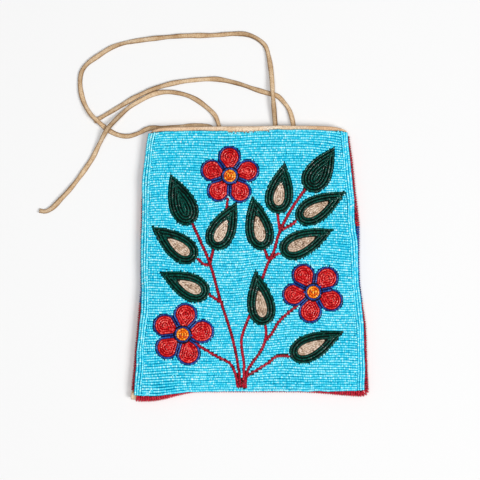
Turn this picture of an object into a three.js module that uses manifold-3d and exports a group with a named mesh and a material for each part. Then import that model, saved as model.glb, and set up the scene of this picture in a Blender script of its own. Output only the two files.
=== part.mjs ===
// Beaded flat bag of hide. It lies on its back with the beaded face up (+Z) and the mouth towards +Y.
// Millimetres.
import * as THREE from "three";
import { mergeVertices } from "three/addons/utils/BufferGeometryUtils.js";
import Module from "manifold-3d";

// Bag
const BAG_HEIGHT = 243.5; // from the lowest corner of the foot to the rim of the mouth
const FOOT_WIDTH = 209.5; // over the beaded edges at the foot
const MOUTH_WIDTH = 176; // over the beaded edges at the mouth
const SIDE_SWELL = 1.8; // how far the sides bow out above the middle
const LEFT_HANG = 8.4; // how far the left corner hangs below the middle of the foot
const RIGHT_HANG = 4; // the same for the right corner
const LEFT_HANG_SPAN = [0.42, 0.87]; // where the foot falls to the left corner, as shares of half its width
const RIGHT_HANG_SPAN = [0.38, 1];
const MOUTH_BOW = 1.2; // how far the rim bends down from its middle to its ends
const MOUTH_FALL = 4; // how much further it falls at its rounded ends
const MOUTH_FALL_POWER = 14; // keeps that fall to the rounded ends
const FOOT_CORNER = 6; // length of side and foot that the rounded corner takes up

// Hide
const HIDE = 1.4; // thickness
const POCKET_DEPTH = 5.2; // clear height between the two panels
const HEM_HEIGHT = 4.4; // front edge of the mouth, turned over to the outside
const BACK_SHORT = 5; // how far the back panel ends below the front rim
const FRONT_SLOPE = 2.3; // width over which the front panel bends down to the seam
const BACK_SLOPE = 2.8; // width over which the back panel bends up to the seam
const SEAM_LIFT = 2.7; // underside of the back panel above the table, at the seam

// Beads
const BEAD = 2.1; // diameter
const ROW_PITCH = 2.15; // from one sewn row to the next
const ROWS_PER_RIDGE = 2; // sewn rows that one modelled ridge stands for
const RIDGE_DEPTH = 0.4; // from the crest of a ridge to the valley beside it
const BORDER_ROWS = 2; // upright rows along each side of the ground
const EDGE_LEG = 2; // how far the edge beading reaches in over each panel
const EDGE_BULGE = 0.9; // how far the shoulders of the edge beading stand out from the panel edge
const CLEARANCE = 0.3; // between neighbouring pieces

// Drawing
const LEAF_WIDTH = 24.6;
const LEAF_BORDER = 7.1; // green round a tan centre
const LEAF_RIDGES = 2; // ridges across that border
const LEAF_SHARPNESS = 1; // straight flanks that meet in a point
const TIP_INSET = 2.2; // how much faster than its flanks the point of a leaf draws in, row by row
const FLOWER_CENTRE_RADIUS = 5.4;
const PETAL_START = 7.6; // distance of a petal's narrow end from the middle of the flower
const PETAL_SHARPNESS = 0.55; // round outside, blunt towards the middle
const PETAL_RIDGE = 4.4; // width of the contour ridge of a petal
const OUTLINE_WIDTH = 2.1; // blue row round petals and centre
const FLOWER_WEB = 13.5; // radius within which blue fills the gores between the petals
const STEM_WIDTH = 2.7; // two beads

// Edge colour blocks, as shares of the way from the foot to the mouth
const LEFT_BLUE = [0.36, 0.61];
const RIGHT_BLUE = [0.36, 0.66];

// Thongs
const THONG = 3; // diameter of a thong
const THONG_SIDES = 8;
const THONG_STEP = 12; // length between two stations along a thong

// Smoothness of curved outlines
const SIDE_STATIONS = 2; // along each colour block of a side
const FOOT_STATIONS = 10;
const CORNER_STATIONS = 3;
const MOUTH_STATIONS = 8;
const LEAF_STATIONS = 10;
const PETAL_STATIONS = 8;
const CENTRE_STATIONS = 8;

// The drawing's points are [across, up]: shares of half the width at their height, and of half the height.
// Leaves: point and rounded end. The first group is green all over.
const PLAIN_LEAVES = {
  "01": [[-0.757, 0.654], [-0.547, 0.287]],
  "07": [[0.824, 0.85], [0.54, 0.532]],
};
const CENTRED_LEAVES = {
  "02": [[-0.905, 0.276], [-0.488, 0.035]],
  "03": [[-0.812, -0.054], [-0.369, -0.226]],
  "04": [[-0.128, 0.434], [-0.343, 0.111]],
  "05": [[0.021, 0.497], [0.121, 0.105]],
  "06": [[0.331, 0.737], [0.243, 0.367]],
  "08": [[0.903, 0.528], [0.429, 0.321]],
  "09": [[0.769, 0.257], [0.274, 0.083]],
  "10": [[0.05, -0.043], [0.124, -0.442]],
  "11": [[0.816, -0.483], [0.347, -0.669]],
};

// Flowers: middle, direction of each petal in degrees from +X towards +Y, distance of a petal's wide end from
// the middle, and width of a petal
const FLOWERS = {
  1: { middle: [-0.192, 0.641], petals: [91, 16, -57, -128, 163], reach: 24.4, breadth: 15.8 },
  2: { middle: [-0.588, -0.506], petals: [82, 9, -73, -140, 153], reach: 26, breadth: 17 },
  3: { middle: [0.563, -0.2], petals: [120, 46, -24, -99, -173], reach: 25.6, breadth: 16.4 },
};

// Stems: centre lines, each from its lower to its upper end
const FOOT_STEMS = [
  [[-0.08, -0.857], [-0.099, -0.749], [-0.156, -0.524], [-0.275, -0.228], [-0.36, 0.003], [-0.53, 0.296]],
  [[-0.368, -0.008], [-0.42, 0.003], [-0.488, 0.056]],
  [[-0.357, 0.017], [-0.33, 0.121]],
  [[-0.239, -0.286], [-0.302, -0.25], [-0.384, -0.207]],
  [[-0.101, -0.857], [-0.128, -0.784], [-0.172, -0.716], [-0.294, -0.662], [-0.479, -0.569]],
  [[-0.058, -0.857], [-0.052, -0.729], [-0.074, -0.539], [-0.005, -0.372]],
  [[-0.037, -0.857], [-0.025, -0.778], [0.112, -0.596], [0.142, -0.489], [0.127, -0.421]],
  [[0.121, -0.561], [0.18, -0.51], [0.263, -0.405], [0.427, -0.29]],
  [[-0.025, -0.806], [0.168, -0.705], [0.218, -0.669], [0.377, -0.662]],
];
const SPRAY_STEMS = [
  [[0.099, -0.129], [0.168, 0.021], [0.21, 0.083], [0.275, 0.242], [0.401, 0.421], [0.531, 0.554]],
  [[0.273, 0.237], [0.255, 0.375]],
  [[0.281, 0.242], [0.372, 0.284], [0.456, 0.332]],
  [[0.167, 0.02], [0.13, 0.121]],
  [[0.17, 0.021], [0.232, 0.068], [0.293, 0.09]],
];
const TOP_STEMS = [[[-0.208, 0.486], [-0.219, 0.388]]];

// Thong routes: [across, up from the rim of the mouth, height of the centre line above the table]
const STRAP_ROUTE = [
  [23, -13, 3.3], [22.4, -6, 3.4], [22.4, 0.9, 3.8], [20.2, 28.6, 5.3], [18.9, 47.5, 4],
  [16.3, 63.6, 2.4], [13.6, 71.7, 1.8], [6.9, 77.8, 1.6], [-2.6, 81.8, 1.6], [-12.3, 82.5, 1.6],
  [-33.4, 81.1, 1.6], [-60.7, 80.5, 1.6], [-88, 77.9, 1.6], [-111, 74.2, 1.6], [-122.3, 70.4, 1.6],
  [-133.5, 63.5, 1.6], [-144.8, 55.1, 1.6], [-149.2, 48.4, 1.6], [-150.5, 39.6, 1.6],
  [-149.2, 28.2, 1.6], [-146.1, 19.4, 2.4], [-140.3, 10.2, 4.6], [-135.5, 5.7, 5.2],
  [-126.7, -2, 1.9], [-116.7, -7.2, 1.6], [-107.7, -8.3, 1.6], [-98.5, -5.6, 1.6], [-92.5, -2.5, 1.6],
  [-86.5, -0.9, 1.6], [-77, -1.3, 1.6], [-66, -0.4, 1.6], [-52.8, 0.9, 1.6], [-41, 0.9, 1.6],
  [-35.4, -0.4, 2.2], [-32.2, -3.4, 3.2], [-30.7, -7.2, 3.5], [-30.3, -13, 3.4],
];
const LEFT_TIE_ROUTE = [
  [-24.4, -13, 3.3], [-25.4, -6, 3.4], [-27.4, 0.6, 3.4], [-30.8, 9.7, 2.4], [-39, 17.9, 1.7],
  [-49.7, 25.3, 1.6], [-60.7, 29.3, 1.6], [-73.9, 30.9, 1.6], [-84.7, 29.3, 1.6], [-96.8, 23.6, 1.6],
  [-106.5, 17.6, 1.6], [-113.5, 11.4, 2.8], [-120, 4.6, 4.8], [-125.8, -2.1, 5.6],
  [-133.5, -15.6, 2.8], [-139, -26.8, 1.6], [-144.8, -35.8, 1.6], [-153.7, -48.1, 1.6],
  [-160.3, -56.3, 1.6], [-166.7, -63.1, 1.6], [-175.6, -72.2, 1.6], [-181.3, -75, 1.6],
  [-186.6, -74.3, 1.6],
];
const RIGHT_TIE_ROUTE = [
  [39, -13, 3.3], [38.8, -6, 3.4], [38.5, 0.9, 3.2], [35.2, 14.1, 2.2], [29.9, 22, 1.7],
  [24.4, 27.3, 1.6], [17.6, 29.3, 1.6], [4.1, 33.4, 1.6], [-9.3, 38, 1.6], [-28.2, 42.1, 1.6],
  [-41.6, 42.1, 1.6], [-60.7, 40, 1.6], [-73.9, 37.2, 1.6], [-87.5, 32.8, 1.6], [-101.2, 26.4, 1.6],
  [-114.4, 18.6, 1.6], [-134.1, 7, 1.6], [-138.3, 4.8, 1.6],
];

// Finishes
const FINISH = {
  hide: { color: "#dfc096", roughness: 0.9, metalness: 0 },
  thong: { color: "#c9a16c", roughness: 0.85, metalness: 0 },
  lightBlue: { color: "#3ec8ec", roughness: 0.25, metalness: 0 },
  green: { color: "#0a4a38", roughness: 0.2, metalness: 0 },
  tan: { color: "#cdb59c", roughness: 0.3, metalness: 0 },
  red: { color: "#d0201c", roughness: 0.25, metalness: 0 },
  blue: { color: "#1b3f94", roughness: 0.2, metalness: 0 },
  orange: { color: "#f58a1f", roughness: 0.25, metalness: 0 },
  crimson: { color: "#b0122b", roughness: 0.25, metalness: 0 },
};

// Heights that follow from the sizes above
const SEAM_TOP_OF_BACK = SEAM_LIFT + HIDE;
const SEAM_UNDER_FRONT = SEAM_TOP_OF_BACK + CLEARANCE;
const SEAM_TOP = SEAM_UNDER_FRONT + HIDE;
const FRONT_UNDER = HIDE + POCKET_DEPTH;
const FRONT_TOP = FRONT_UNDER + HIDE;
const BEAD_FOOT = FRONT_TOP + CLEARANCE;
const BEAD_CREST = BEAD_FOOT + BEAD;
const BEAD_VALLEY = BEAD_CREST - RIDGE_DEPTH;
const CUT_MARGIN = 1; // how far a cutter reaches past what it cuts

// Widths taken in from the outline over the edge beading
const PANEL_INSET = BEAD + CLEARANCE;
const BORDER_INSET = PANEL_INSET + EDGE_LEG + CLEARANCE;
const BORDER_WIDTH = BORDER_ROWS * ROW_PITCH;
const GROUND_INSET = BORDER_INSET + BORDER_WIDTH + CLEARANCE;
const HALF_HEIGHT = BAG_HEIGHT / 2;
const HALF_FOOT = FOOT_WIDTH / 2;
const HALF_MOUTH = MOUTH_WIDTH / 2;

const wasm = await Module();
wasm.setup();

/** A closed geometry as a solid that can be joined and cut. */
function solidFrom(geometry) {
  const bare = geometry.index ? geometry.toNonIndexed() : geometry.clone();
  bare.deleteAttribute("normal");
  bare.deleteAttribute("uv");
  const merged = mergeVertices(bare);
  const mesh = new wasm.Mesh({
    numProp: 3,
    vertProperties: merged.attributes.position.array,
    triVerts: new Uint32Array(merged.index.array),
  });
  return new wasm.Manifold(mesh);
}

/** The geometry of a solid. */
function geometryFrom(solid) {
  const mesh = solid.getMesh();
  const geometry = new THREE.BufferGeometry();
  geometry.setAttribute("position", new THREE.BufferAttribute(mesh.vertProperties, 3));
  geometry.setIndex(new THREE.BufferAttribute(mesh.triVerts, 1));
  return geometry;
}

/** The signed volume inside a list of triangles. */
function signedVolume(triangles) {
  return triangles.reduce((sum, [a, b, c]) => sum + a.dot(b.clone().cross(c)) / 6, 0);
}

/**
 * A closed body through a row of loops with equally many points each.
 * Its two ends are filled as the flat outline says; a ring runs from its last loop back to its first.
 */
function bodyThrough(loops, outline) {
  const triangles = [];
  const add = (...corners) => {
    const [a, b, c] = corners;
    if (!a.equals(b) && !b.equals(c) && !c.equals(a)) triangles.push(corners);
  };
  const count = loops[0].length;
  const bands = outline ? loops.length - 1 : loops.length;
  for (let i = 0; i < bands; i++) {
    const near = loops[i];
    const far = loops[(i + 1) % loops.length];
    for (let j = 0; j < count; j++) {
      const k = (j + 1) % count;
      add(near[j], near[k], far[k]);
      add(near[j], far[k], far[j]);
    }
  }
  if (outline) {
    const turned = THREE.ShapeUtils.isClockWise(outline);
    for (const [a, b, c] of THREE.ShapeUtils.triangulateShape(outline, [])) {
      const first = loops[0];
      const last = loops.at(-1);
      add(first[a], turned ? first[b] : first[c], turned ? first[c] : first[b]);
      add(last[a], turned ? last[c] : last[b], turned ? last[b] : last[c]);
    }
  }
  const inward = signedVolume(triangles) < 0;
  const ordered = triangles.flatMap(([a, b, c]) => (inward ? [a, c, b] : [a, b, c]));
  return new THREE.BufferGeometry().setFromPoints(ordered);
}

/** A flat loop lifted to a height. */
function lifted(loop, z) {
  return loop.map((point) => new THREE.Vector3(point.x, point.y, z));
}

/** An upright block over a flat loop. */
function block(loop, bottom, top) {
  const shape = new THREE.Shape(loop);
  const geometry = new THREE.ExtrudeGeometry(shape, { depth: top - bottom, bevelEnabled: false });
  return solidFrom(geometry.translate(0, 0, bottom));
}

/** A block tall enough to cut through all the beading. */
function cutter(loop) {
  return block(loop, BEAD_FOOT - CUT_MARGIN, BEAD_CREST + CUT_MARGIN);
}

/** One solid out of several that touch or overlap. */
function joined(solids) {
  return solids.reduce((sum, solid) => sum.add(solid));
}

/** A solid less several others. */
function cut(solid, cutters) {
  return cutters.reduce((rest, tool) => rest.subtract(tool), solid);
}

/** Half of the width over the edge beading at a height. */
function halfWidthAt(y) {
  const t = (y + HALF_HEIGHT) / BAG_HEIGHT;
  return THREE.MathUtils.lerp(HALF_FOOT, HALF_MOUTH, t) + SIDE_SWELL * Math.sin(Math.PI * t * t);
}

/** Height of the rim of the mouth at a distance across. */
function rimAt(x) {
  const share = Math.abs(x / HALF_MOUTH);
  return HALF_HEIGHT - MOUTH_BOW * share ** 2 - MOUTH_FALL * share ** MOUTH_FALL_POWER;
}

/** Height of the foot over the edge beading at a distance across. */
function footAt(x) {
  const [hang, span] = x < 0 ? [LEFT_HANG, LEFT_HANG_SPAN] : [RIGHT_HANG, RIGHT_HANG_SPAN];
  const fall = THREE.MathUtils.smoothstep(Math.abs(x / HALF_FOOT), ...span);
  return LEFT_HANG - hang * fall - HALF_HEIGHT;
}

/** A point of one side (-1 left, 1 right) of the seam, t of the way up from the foot to the rim. */
function seamSidePoint(side, t) {
  const low = footAt(side * (HALF_FOOT - PANEL_INSET)) + PANEL_INSET;
  const high = rimAt(HALF_MOUTH - PANEL_INSET);
  const y = THREE.MathUtils.lerp(low, high, t);
  return new THREE.Vector2(side * (halfWidthAt(y) - PANEL_INSET), y);
}

/** Evenly spread numbers from a to b, both included. */
function spread(a, b, steps) {
  return Array.from({ length: steps + 1 }, (_, i) => THREE.MathUtils.lerp(a, b, i / steps));
}

// The seam, as the edge of the panels: from the left end of the mouth down, along the foot and up the right.
const cornerShare = FOOT_CORNER / BAG_HEIGHT;
const cornerReach = HALF_FOOT - PANEL_INSET - FOOT_CORNER;

/** The stations of one side in its three colour blocks, from the foot up. */
function sideBlocks(side, [blueStart, blueEnd]) {
  const bounds = [cornerShare, blueStart, blueEnd, 1];
  return [0, 1, 2].map((i) =>
    spread(bounds[i], bounds[i + 1], SIDE_STATIONS).map((t) => seamSidePoint(side, t)),
  );
}

/** The rounded corner between a side and the foot, from the side on. */
function cornerPoints(side) {
  const foot = new THREE.Vector2(side * cornerReach, footAt(side * cornerReach) + PANEL_INSET);
  const curve = new THREE.QuadraticBezierCurve(
    seamSidePoint(side, cornerShare),
    seamSidePoint(side, 0),
    foot,
  );
  return curve.getPoints(CORNER_STATIONS);
}

/** A run of points together with the direction to the right of the run at each. */
function withNormals(points) {
  return points.map((point, i) => {
    const before = points[i - 1]?.clone().sub(point).normalize();
    const after = points[i + 1]?.clone().sub(point).normalize();
    const along = new THREE.Vector2();
    if (after) along.add(after);
    if (before) along.sub(before);
    along.normalize();
    return { point, normal: new THREE.Vector2(along.y, -along.x) };
  });
}

const leftBlocks = sideBlocks(-1, LEFT_BLUE).map((run) => run.reverse());
const rightBlocks = sideBlocks(1, RIGHT_BLUE);
const footRun = spread(-cornerReach, cornerReach, FOOT_STATIONS).map(
  (x) => new THREE.Vector2(x, footAt(x) + PANEL_INSET),
);
const footWithCorners = [
  ...cornerPoints(-1),
  ...footRun.slice(1, -1),
  ...cornerPoints(1).reverse(),
];
const seamRuns = [
  leftBlocks[2], leftBlocks[1], leftBlocks[0], footWithCorners,
  rightBlocks[0], rightBlocks[1], rightBlocks[2],
];
const seamPoints = seamRuns.flatMap((run, i) => (i ? run.slice(1) : run));
const seam = withNormals(seamPoints);

/** A section of the seam path moved inwards. */
function seamInset(distance) {
  return seam.map(({ point, normal }) => point.clone().addScaledVector(normal, -distance));
}

// The hem ends where the bends of the panels begin.
const hemReach = HALF_MOUTH - PANEL_INSET - Math.max(FRONT_SLOPE, BACK_SLOPE);

/** A line along the hem, from the left, at a distance below the rim. */
function hemLine(drop) {
  return spread(-hemReach, hemReach, MOUTH_STATIONS).map((x) => new THREE.Vector2(x, rimAt(x) - drop));
}

/** The strip that the hem takes up below the rim. */
function hemStrip() {
  return [...hemLine(HEM_HEIGHT).reverse(), ...hemLine(0)];
}

/** All that lies above a line at a distance below the rim. */
function aboveHem(drop) {
  const top = [-hemReach, hemReach].map((x) => new THREE.Vector2(x, BAG_HEIGHT));
  return [...hemLine(drop).reverse(), ...top];
}

/** The outline of a panel: the seam taken in by a distance, closed along the mouth. */
function panelLoop(inset, short) {
  const loop = seamInset(inset);
  for (const end of [loop[0], loop.at(-1)]) end.y = rimAt(end.x) - short;
  const mouth = hemLine(short).slice(1, -1).reverse();
  return [...loop, ...mouth];
}

/** A hide panel that is flat in the middle and bends to the seam along three sides. */
function panel(slope, short, seamBottom, flatBottom) {
  const edge = panelLoop(0, short);
  const flat = panelLoop(slope, short);
  const height = (seamHeight, flatHeight) =>
    edge.map((point, i) => new THREE.Vector3(point.x, point.y, i < seam.length ? seamHeight : flatHeight));
  const loops = [
    lifted(flat, flatBottom),
    height(seamBottom, flatBottom),
    height(seamBottom + HIDE, flatBottom + HIDE),
    lifted(flat, flatBottom + HIDE),
  ];
  return solidFrom(bodyThrough(loops, flat));
}

/** A body with one section all along a path of points and outward directions. */
function swept(section, path) {
  const loops = path.map(({ point, normal }) =>
    section.map(({ x, y }) => new THREE.Vector3(point.x + normal.x * x, point.y + normal.y * x, y)),
  );
  return bodyThrough(loops, section);
}

/** The run of a path with its two ends drawn back by half a clearance. */
function drawnBack(path) {
  const shift = (end, next) => {
    const towards = next.point.clone().sub(end.point).setLength(CLEARANCE / 2);
    return { point: end.point.clone().add(towards), normal: end.normal };
  };
  return [shift(path[0], path[1]), ...path.slice(1, -1), shift(path.at(-1), path.at(-2))];
}

/** The section of the edge beading: outward distance from the panel edge, and height. */
function edgeSection() {
  const slopeRise = (EDGE_LEG / FRONT_SLOPE) * (FRONT_TOP - SEAM_TOP);
  const slopeFall = (EDGE_LEG / BACK_SLOPE) * SEAM_LIFT;
  const legTop = SEAM_TOP + slopeRise + CLEARANCE * Math.SQRT2;
  const legLow = SEAM_LIFT - slopeFall - CLEARANCE * Math.SQRT2;
  return [
    new THREE.Vector2(-EDGE_LEG, legLow),
    new THREE.Vector2(CLEARANCE, SEAM_LIFT - CLEARANCE),
    new THREE.Vector2(CLEARANCE, SEAM_TOP + CLEARANCE),
    new THREE.Vector2(-EDGE_LEG, legTop),
    new THREE.Vector2(-EDGE_LEG, BEAD_CREST),
    new THREE.Vector2(EDGE_BULGE, SEAM_TOP + BEAD),
    new THREE.Vector2(PANEL_INSET, SEAM_TOP),
    new THREE.Vector2(PANEL_INSET, SEAM_LIFT),
    new THREE.Vector2(EDGE_BULGE, 0),
    new THREE.Vector2(-EDGE_LEG, 0),
  ];
}

/** A teardrop outline from its point to its round end, drawn in by an inset. */
function teardrop([tip, end], width, sharpness, stations, inset = 0, tipInset = 1) {
  const point = new THREE.Vector2(...tip);
  const round = new THREE.Vector2(...end);
  const along = point.clone().sub(round).normalize();
  point.addScaledVector(along, -inset * tipInset);
  round.addScaledVector(along, inset);
  const middle = point.clone().add(round).divideScalar(2);
  const halfLength = point.distanceTo(round) / 2;
  const shape = (angle) => Math.sin(angle) * Math.abs(Math.sin(angle / 2)) ** sharpness;
  const widest = 2 * Math.atan(Math.sqrt(sharpness + 1));
  const halfBreadth = (width / 2 - inset) / shape(widest);
  return Array.from({ length: stations }, (_, i) => {
    const angle = (2 * Math.PI * i) / stations;
    const forward = halfLength * Math.cos(angle);
    const sideways = halfBreadth * shape(angle);
    return new THREE.Vector2(
      middle.x + along.x * forward - along.y * sideways,
      middle.y + along.y * forward + along.x * sideways,
    );
  });
}

/** A point of the drawing in its place on the bag. */
function placed([across, up]) {
  const y = up * HALF_HEIGHT;
  return [across * halfWidthAt(y), y];
}

/** The outline of a leaf, drawn in by an inset. */
function leafLoop(axis, inset) {
  const tipInset = inset < 0 ? 1 : TIP_INSET;
  return teardrop(axis.map(placed), LEAF_WIDTH, LEAF_SHARPNESS, LEAF_STATIONS, inset, tipInset);
}

/** Loops over a contour-sewn field: up its outer wall and over its ridges, from the outline inwards. */
function ridgeLoops(outline, ridges, ridgeWidth) {
  const loops = [lifted(outline(0), BEAD_FOOT), lifted(outline(0), BEAD_VALLEY)];
  for (let i = 0; i < ridges; i++) {
    loops.push(lifted(outline((i + 1 / 2) * ridgeWidth), BEAD_CREST));
    loops.push(lifted(outline((i + 1) * ridgeWidth), BEAD_VALLEY));
  }
  return loops;
}

/** A leaf that is green all over. */
function plainLeaf(axis) {
  const outline = (inset) => leafLoop(axis, inset);
  return bodyThrough(ridgeLoops(outline, LEAF_RIDGES + 1, LEAF_BORDER / LEAF_RIDGES), outline(0));
}

/** The green of a leaf round its tan centre. */
function leafRing(axis) {
  const outline = (inset) => leafLoop(axis, inset);
  return bodyThrough([
    ...ridgeLoops(outline, LEAF_RIDGES, LEAF_BORDER / LEAF_RIDGES),
    lifted(outline(LEAF_BORDER), BEAD_FOOT),
  ]);
}

/** The tan centre of a leaf. */
function leafCentre(axis) {
  const start = LEAF_BORDER + CLEARANCE;
  const outline = (inset) => leafLoop(axis, start + inset);
  const loops = [
    lifted(outline(0), BEAD_FOOT),
    lifted(outline(0), BEAD_VALLEY),
    lifted(outline(ROW_PITCH / 2), BEAD_CREST),
  ];
  return bodyThrough(loops, outline(0));
}

/** The narrow and the wide end of a petal. */
function petalAxis({ middle, reach }, degrees) {
  const angle = THREE.MathUtils.degToRad(degrees);
  const [x, y] = placed(middle);
  return [PETAL_START, reach].map((distance) => [
    x + distance * Math.cos(angle),
    y + distance * Math.sin(angle),
  ]);
}

/** The outline of a petal, drawn in (or, below zero, let out) by an inset. */
function petalLoop(flower, degrees, inset) {
  return teardrop(petalAxis(flower, degrees), flower.breadth, PETAL_SHARPNESS, PETAL_STATIONS, inset);
}

/** A petal with one contour ridge round a flat heart. */
function petal(flower, degrees) {
  const outline = (inset) => petalLoop(flower, degrees, inset);
  return bodyThrough(ridgeLoops(outline, 1, PETAL_RIDGE), outline(0));
}

/** A round loop about the middle of a flower. */
function roundLoop(middle, radius) {
  const [x, y] = placed(middle);
  return Array.from({ length: CENTRE_STATIONS }, (_, i) => {
    const angle = (2 * Math.PI * i) / CENTRE_STATIONS;
    return new THREE.Vector2(x + radius * Math.cos(angle), y + radius * Math.sin(angle));
  });
}

/** The orange centre of a flower. */
function flowerCentre(middle) {
  const outline = (inset) => roundLoop(middle, FLOWER_CENTRE_RADIUS - inset);
  return bodyThrough(ridgeLoops(outline, 1, FLOWER_CENTRE_RADIUS / 2), outline(0));
}

/** All that a flower covers, let out by a distance beyond its blue outline. */
function flowerCutters(flower, letOut) {
  return [
    cutter(roundLoop(flower.middle, FLOWER_WEB + letOut)),
    ...flower.petals.map((degrees) => cutter(petalLoop(flower, degrees, -OUTLINE_WIDTH - letOut))),
  ];
}

/** The blue net round the petals and the centre of a flower. */
function flowerOutline(flower) {
  const { middle, petals } = flower;
  const field = joined([
    block(roundLoop(middle, FLOWER_WEB), BEAD_FOOT, BEAD_CREST),
    ...petals.map((degrees) => block(petalLoop(flower, degrees, -OUTLINE_WIDTH), BEAD_FOOT, BEAD_CREST)),
  ]);
  const holes = [
    cutter(roundLoop(middle, FLOWER_CENTRE_RADIUS + CLEARANCE)),
    ...petals.map((degrees) => cutter(petalLoop(flower, degrees, -CLEARANCE))),
  ];
  return cut(field, holes);
}

/** The outline of a stem of a given width along its centre line. */
function stemLoop(line, width) {
  const path = withNormals(line.map((point) => new THREE.Vector2(...placed(point))));
  const flank = (offset) => path.map(({ point, normal }) => point.clone().addScaledVector(normal, offset));
  return [...flank(width / 2), ...flank(-width / 2).reverse()];
}

/** The ridged sheet of the ground before the drawing is cut out of it. */
function ridgedSheet() {
  const ridge = ROW_PITCH * ROWS_PER_RIDGE;
  const count = Math.ceil(BAG_HEIGHT / ridge);
  const crests = spread(0, count, 2 * count).map(
    (step) =>
      new THREE.Vector2(step * ridge - HALF_HEIGHT, Number.isInteger(step) ? BEAD_VALLEY : BEAD_CREST),
  );
  const profile = [
    new THREE.Vector2(-HALF_HEIGHT, BEAD_FOOT),
    new THREE.Vector2(count * ridge - HALF_HEIGHT, BEAD_FOOT),
    ...crests.reverse(),
  ];
  const depth = FOOT_WIDTH;
  const geometry = new THREE.ExtrudeGeometry(new THREE.Shape(profile), { depth, bevelEnabled: false });
  const upright = new THREE.Matrix4().makeBasis(
    new THREE.Vector3(0, 1, 0),
    new THREE.Vector3(0, 0, 1),
    new THREE.Vector3(1, 0, 0),
  );
  return solidFrom(geometry.applyMatrix4(upright).translate(-depth / 2, 0, 0));
}

/** One side of a field, taken in from the outline, between two heights. */
function fieldSide(side, inset, low, high) {
  const heights = spread(low, high, leftBlocks.length * SIDE_STATIONS);
  return heights.map((y) => new THREE.Vector2(side * (halfWidthAt(y) - inset), y));
}

/** The outline of the ground between the border rows, running past the foot and the rim. */
function groundLoop() {
  const [left, right] = [-1, 1].map((side) => fieldSide(side, GROUND_INSET, -HALF_HEIGHT, HALF_HEIGHT));
  return [...right, ...left.reverse()];
}

/** All that lies below a line taken in from the foot of the seam. */
function belowFoot(inset) {
  const start = leftBlocks.length * SIDE_STATIONS;
  const line = seamInset(inset).slice(start, start + footWithCorners.length);
  return [...line, new THREE.Vector2(HALF_FOOT, -BAG_HEIGHT), new THREE.Vector2(-HALF_FOOT, -BAG_HEIGHT)];
}

/** The upright border rows along one side. */
function borderRows(side) {
  const crests = spread(0, BORDER_ROWS, 2 * BORDER_ROWS).map(
    (step) => new THREE.Vector2(step * ROW_PITCH, Number.isInteger(step) ? BEAD_VALLEY : BEAD_CREST),
  );
  const section = [new THREE.Vector2(BORDER_WIDTH, BEAD_FOOT), new THREE.Vector2(0, BEAD_FOOT), ...crests];
  const inward = new THREE.Vector2(-side, 0);
  const low = seamSidePoint(side, cornerShare).y + CLEARANCE;
  const high = rimAt(HALF_MOUTH - BORDER_INSET) - HEM_HEIGHT - CLEARANCE;
  const path = fieldSide(side, BORDER_INSET, low, high).map((point) => ({ point, normal: inward }));
  return swept(section, path);
}

/** A thong along its route. */
function thong(route) {
  const points = route.map(([x, y, z]) => new THREE.Vector3(x, HALF_HEIGHT + y, z));
  const curve = new THREE.CatmullRomCurve3(points, false, "centripetal");
  const corners = Array.from({ length: THONG_SIDES }, (_, i) => {
    const angle = (2 * Math.PI * (i + 1 / 2)) / THONG_SIDES;
    return new THREE.Vector2((THONG / 2) * Math.cos(angle), (THONG / 2) * Math.sin(angle));
  });
  const steps = Math.round(curve.getLength() / THONG_STEP);
  return new THREE.ExtrudeGeometry(new THREE.Shape(corners), { steps, extrudePath: curve });
}

const bag = new THREE.Group();
bag.name = "beaded_flat_bag";

/** Adds one named piece with its own material. */
function addPiece(name, geometry, finish) {
  const flat = geometry.index ? geometry.toNonIndexed() : geometry;
  flat.computeVertexNormals();
  const mesh = new THREE.Mesh(flat, new THREE.MeshStandardMaterial(finish));
  mesh.name = name;
  bag.add(mesh);
}

// Panels
const hem = block(hemStrip(), FRONT_TOP - HIDE / 2, FRONT_TOP + HIDE);
const frontPanel = panel(FRONT_SLOPE, 0, SEAM_UNDER_FRONT, FRONT_UNDER).add(hem);
addPiece("front_panel", geometryFrom(frontPanel), FINISH.hide);
addPiece("back_panel", geometryFrom(panel(BACK_SLOPE, BACK_SHORT, SEAM_LIFT, 0)), FINISH.hide);

// Drawing
const leaves = { ...PLAIN_LEAVES, ...CENTRED_LEAVES };
const leafCutters = (letOut) => Object.values(leaves).map((axis) => cutter(leafLoop(axis, -letOut)));
const allFlowers = Object.values(FLOWERS);
const flowersCut = (letOut) => allFlowers.flatMap((flower) => flowerCutters(flower, letOut));
const stemSolid = (lines) =>
  cut(joined(lines.map((line) => block(stemLoop(line, STEM_WIDTH), BEAD_FOOT, BEAD_CREST))), [
    ...leafCutters(CLEARANCE),
    ...flowersCut(CLEARANCE),
  ]);
const stemCutters = [...FOOT_STEMS, ...SPRAY_STEMS, ...TOP_STEMS].map((line) =>
  cutter(stemLoop(line, STEM_WIDTH + 2 * CLEARANCE)),
);

const groundTool = cutter(groundLoop());
const onGround = (geometry) => geometryFrom(solidFrom(geometry).intersect(groundTool));
for (const [number, axis] of Object.entries(PLAIN_LEAVES)) {
  addPiece(`leaf_${number}`, onGround(plainLeaf(axis)), FINISH.green);
}
for (const [number, axis] of Object.entries(CENTRED_LEAVES)) {
  addPiece(`leaf_${number}`, onGround(leafRing(axis)), FINISH.green);
  addPiece(`leaf_centre_${number}`, onGround(leafCentre(axis)), FINISH.tan);
}
for (const [number, flower] of Object.entries(FLOWERS)) {
  addPiece(`flower_outline_${number}`, geometryFrom(flowerOutline(flower)), FINISH.blue);
  addPiece(`flower_centre_${number}`, flowerCentre(flower.middle), FINISH.orange);
  flower.petals.forEach((degrees, i) => {
    addPiece(`petal_${number}_${i + 1}`, petal(flower, degrees), FINISH.red);
  });
}
addPiece("stem_foot", geometryFrom(stemSolid(FOOT_STEMS)), FINISH.crimson);
addPiece("stem_spray", geometryFrom(stemSolid(SPRAY_STEMS)), FINISH.crimson);
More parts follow.
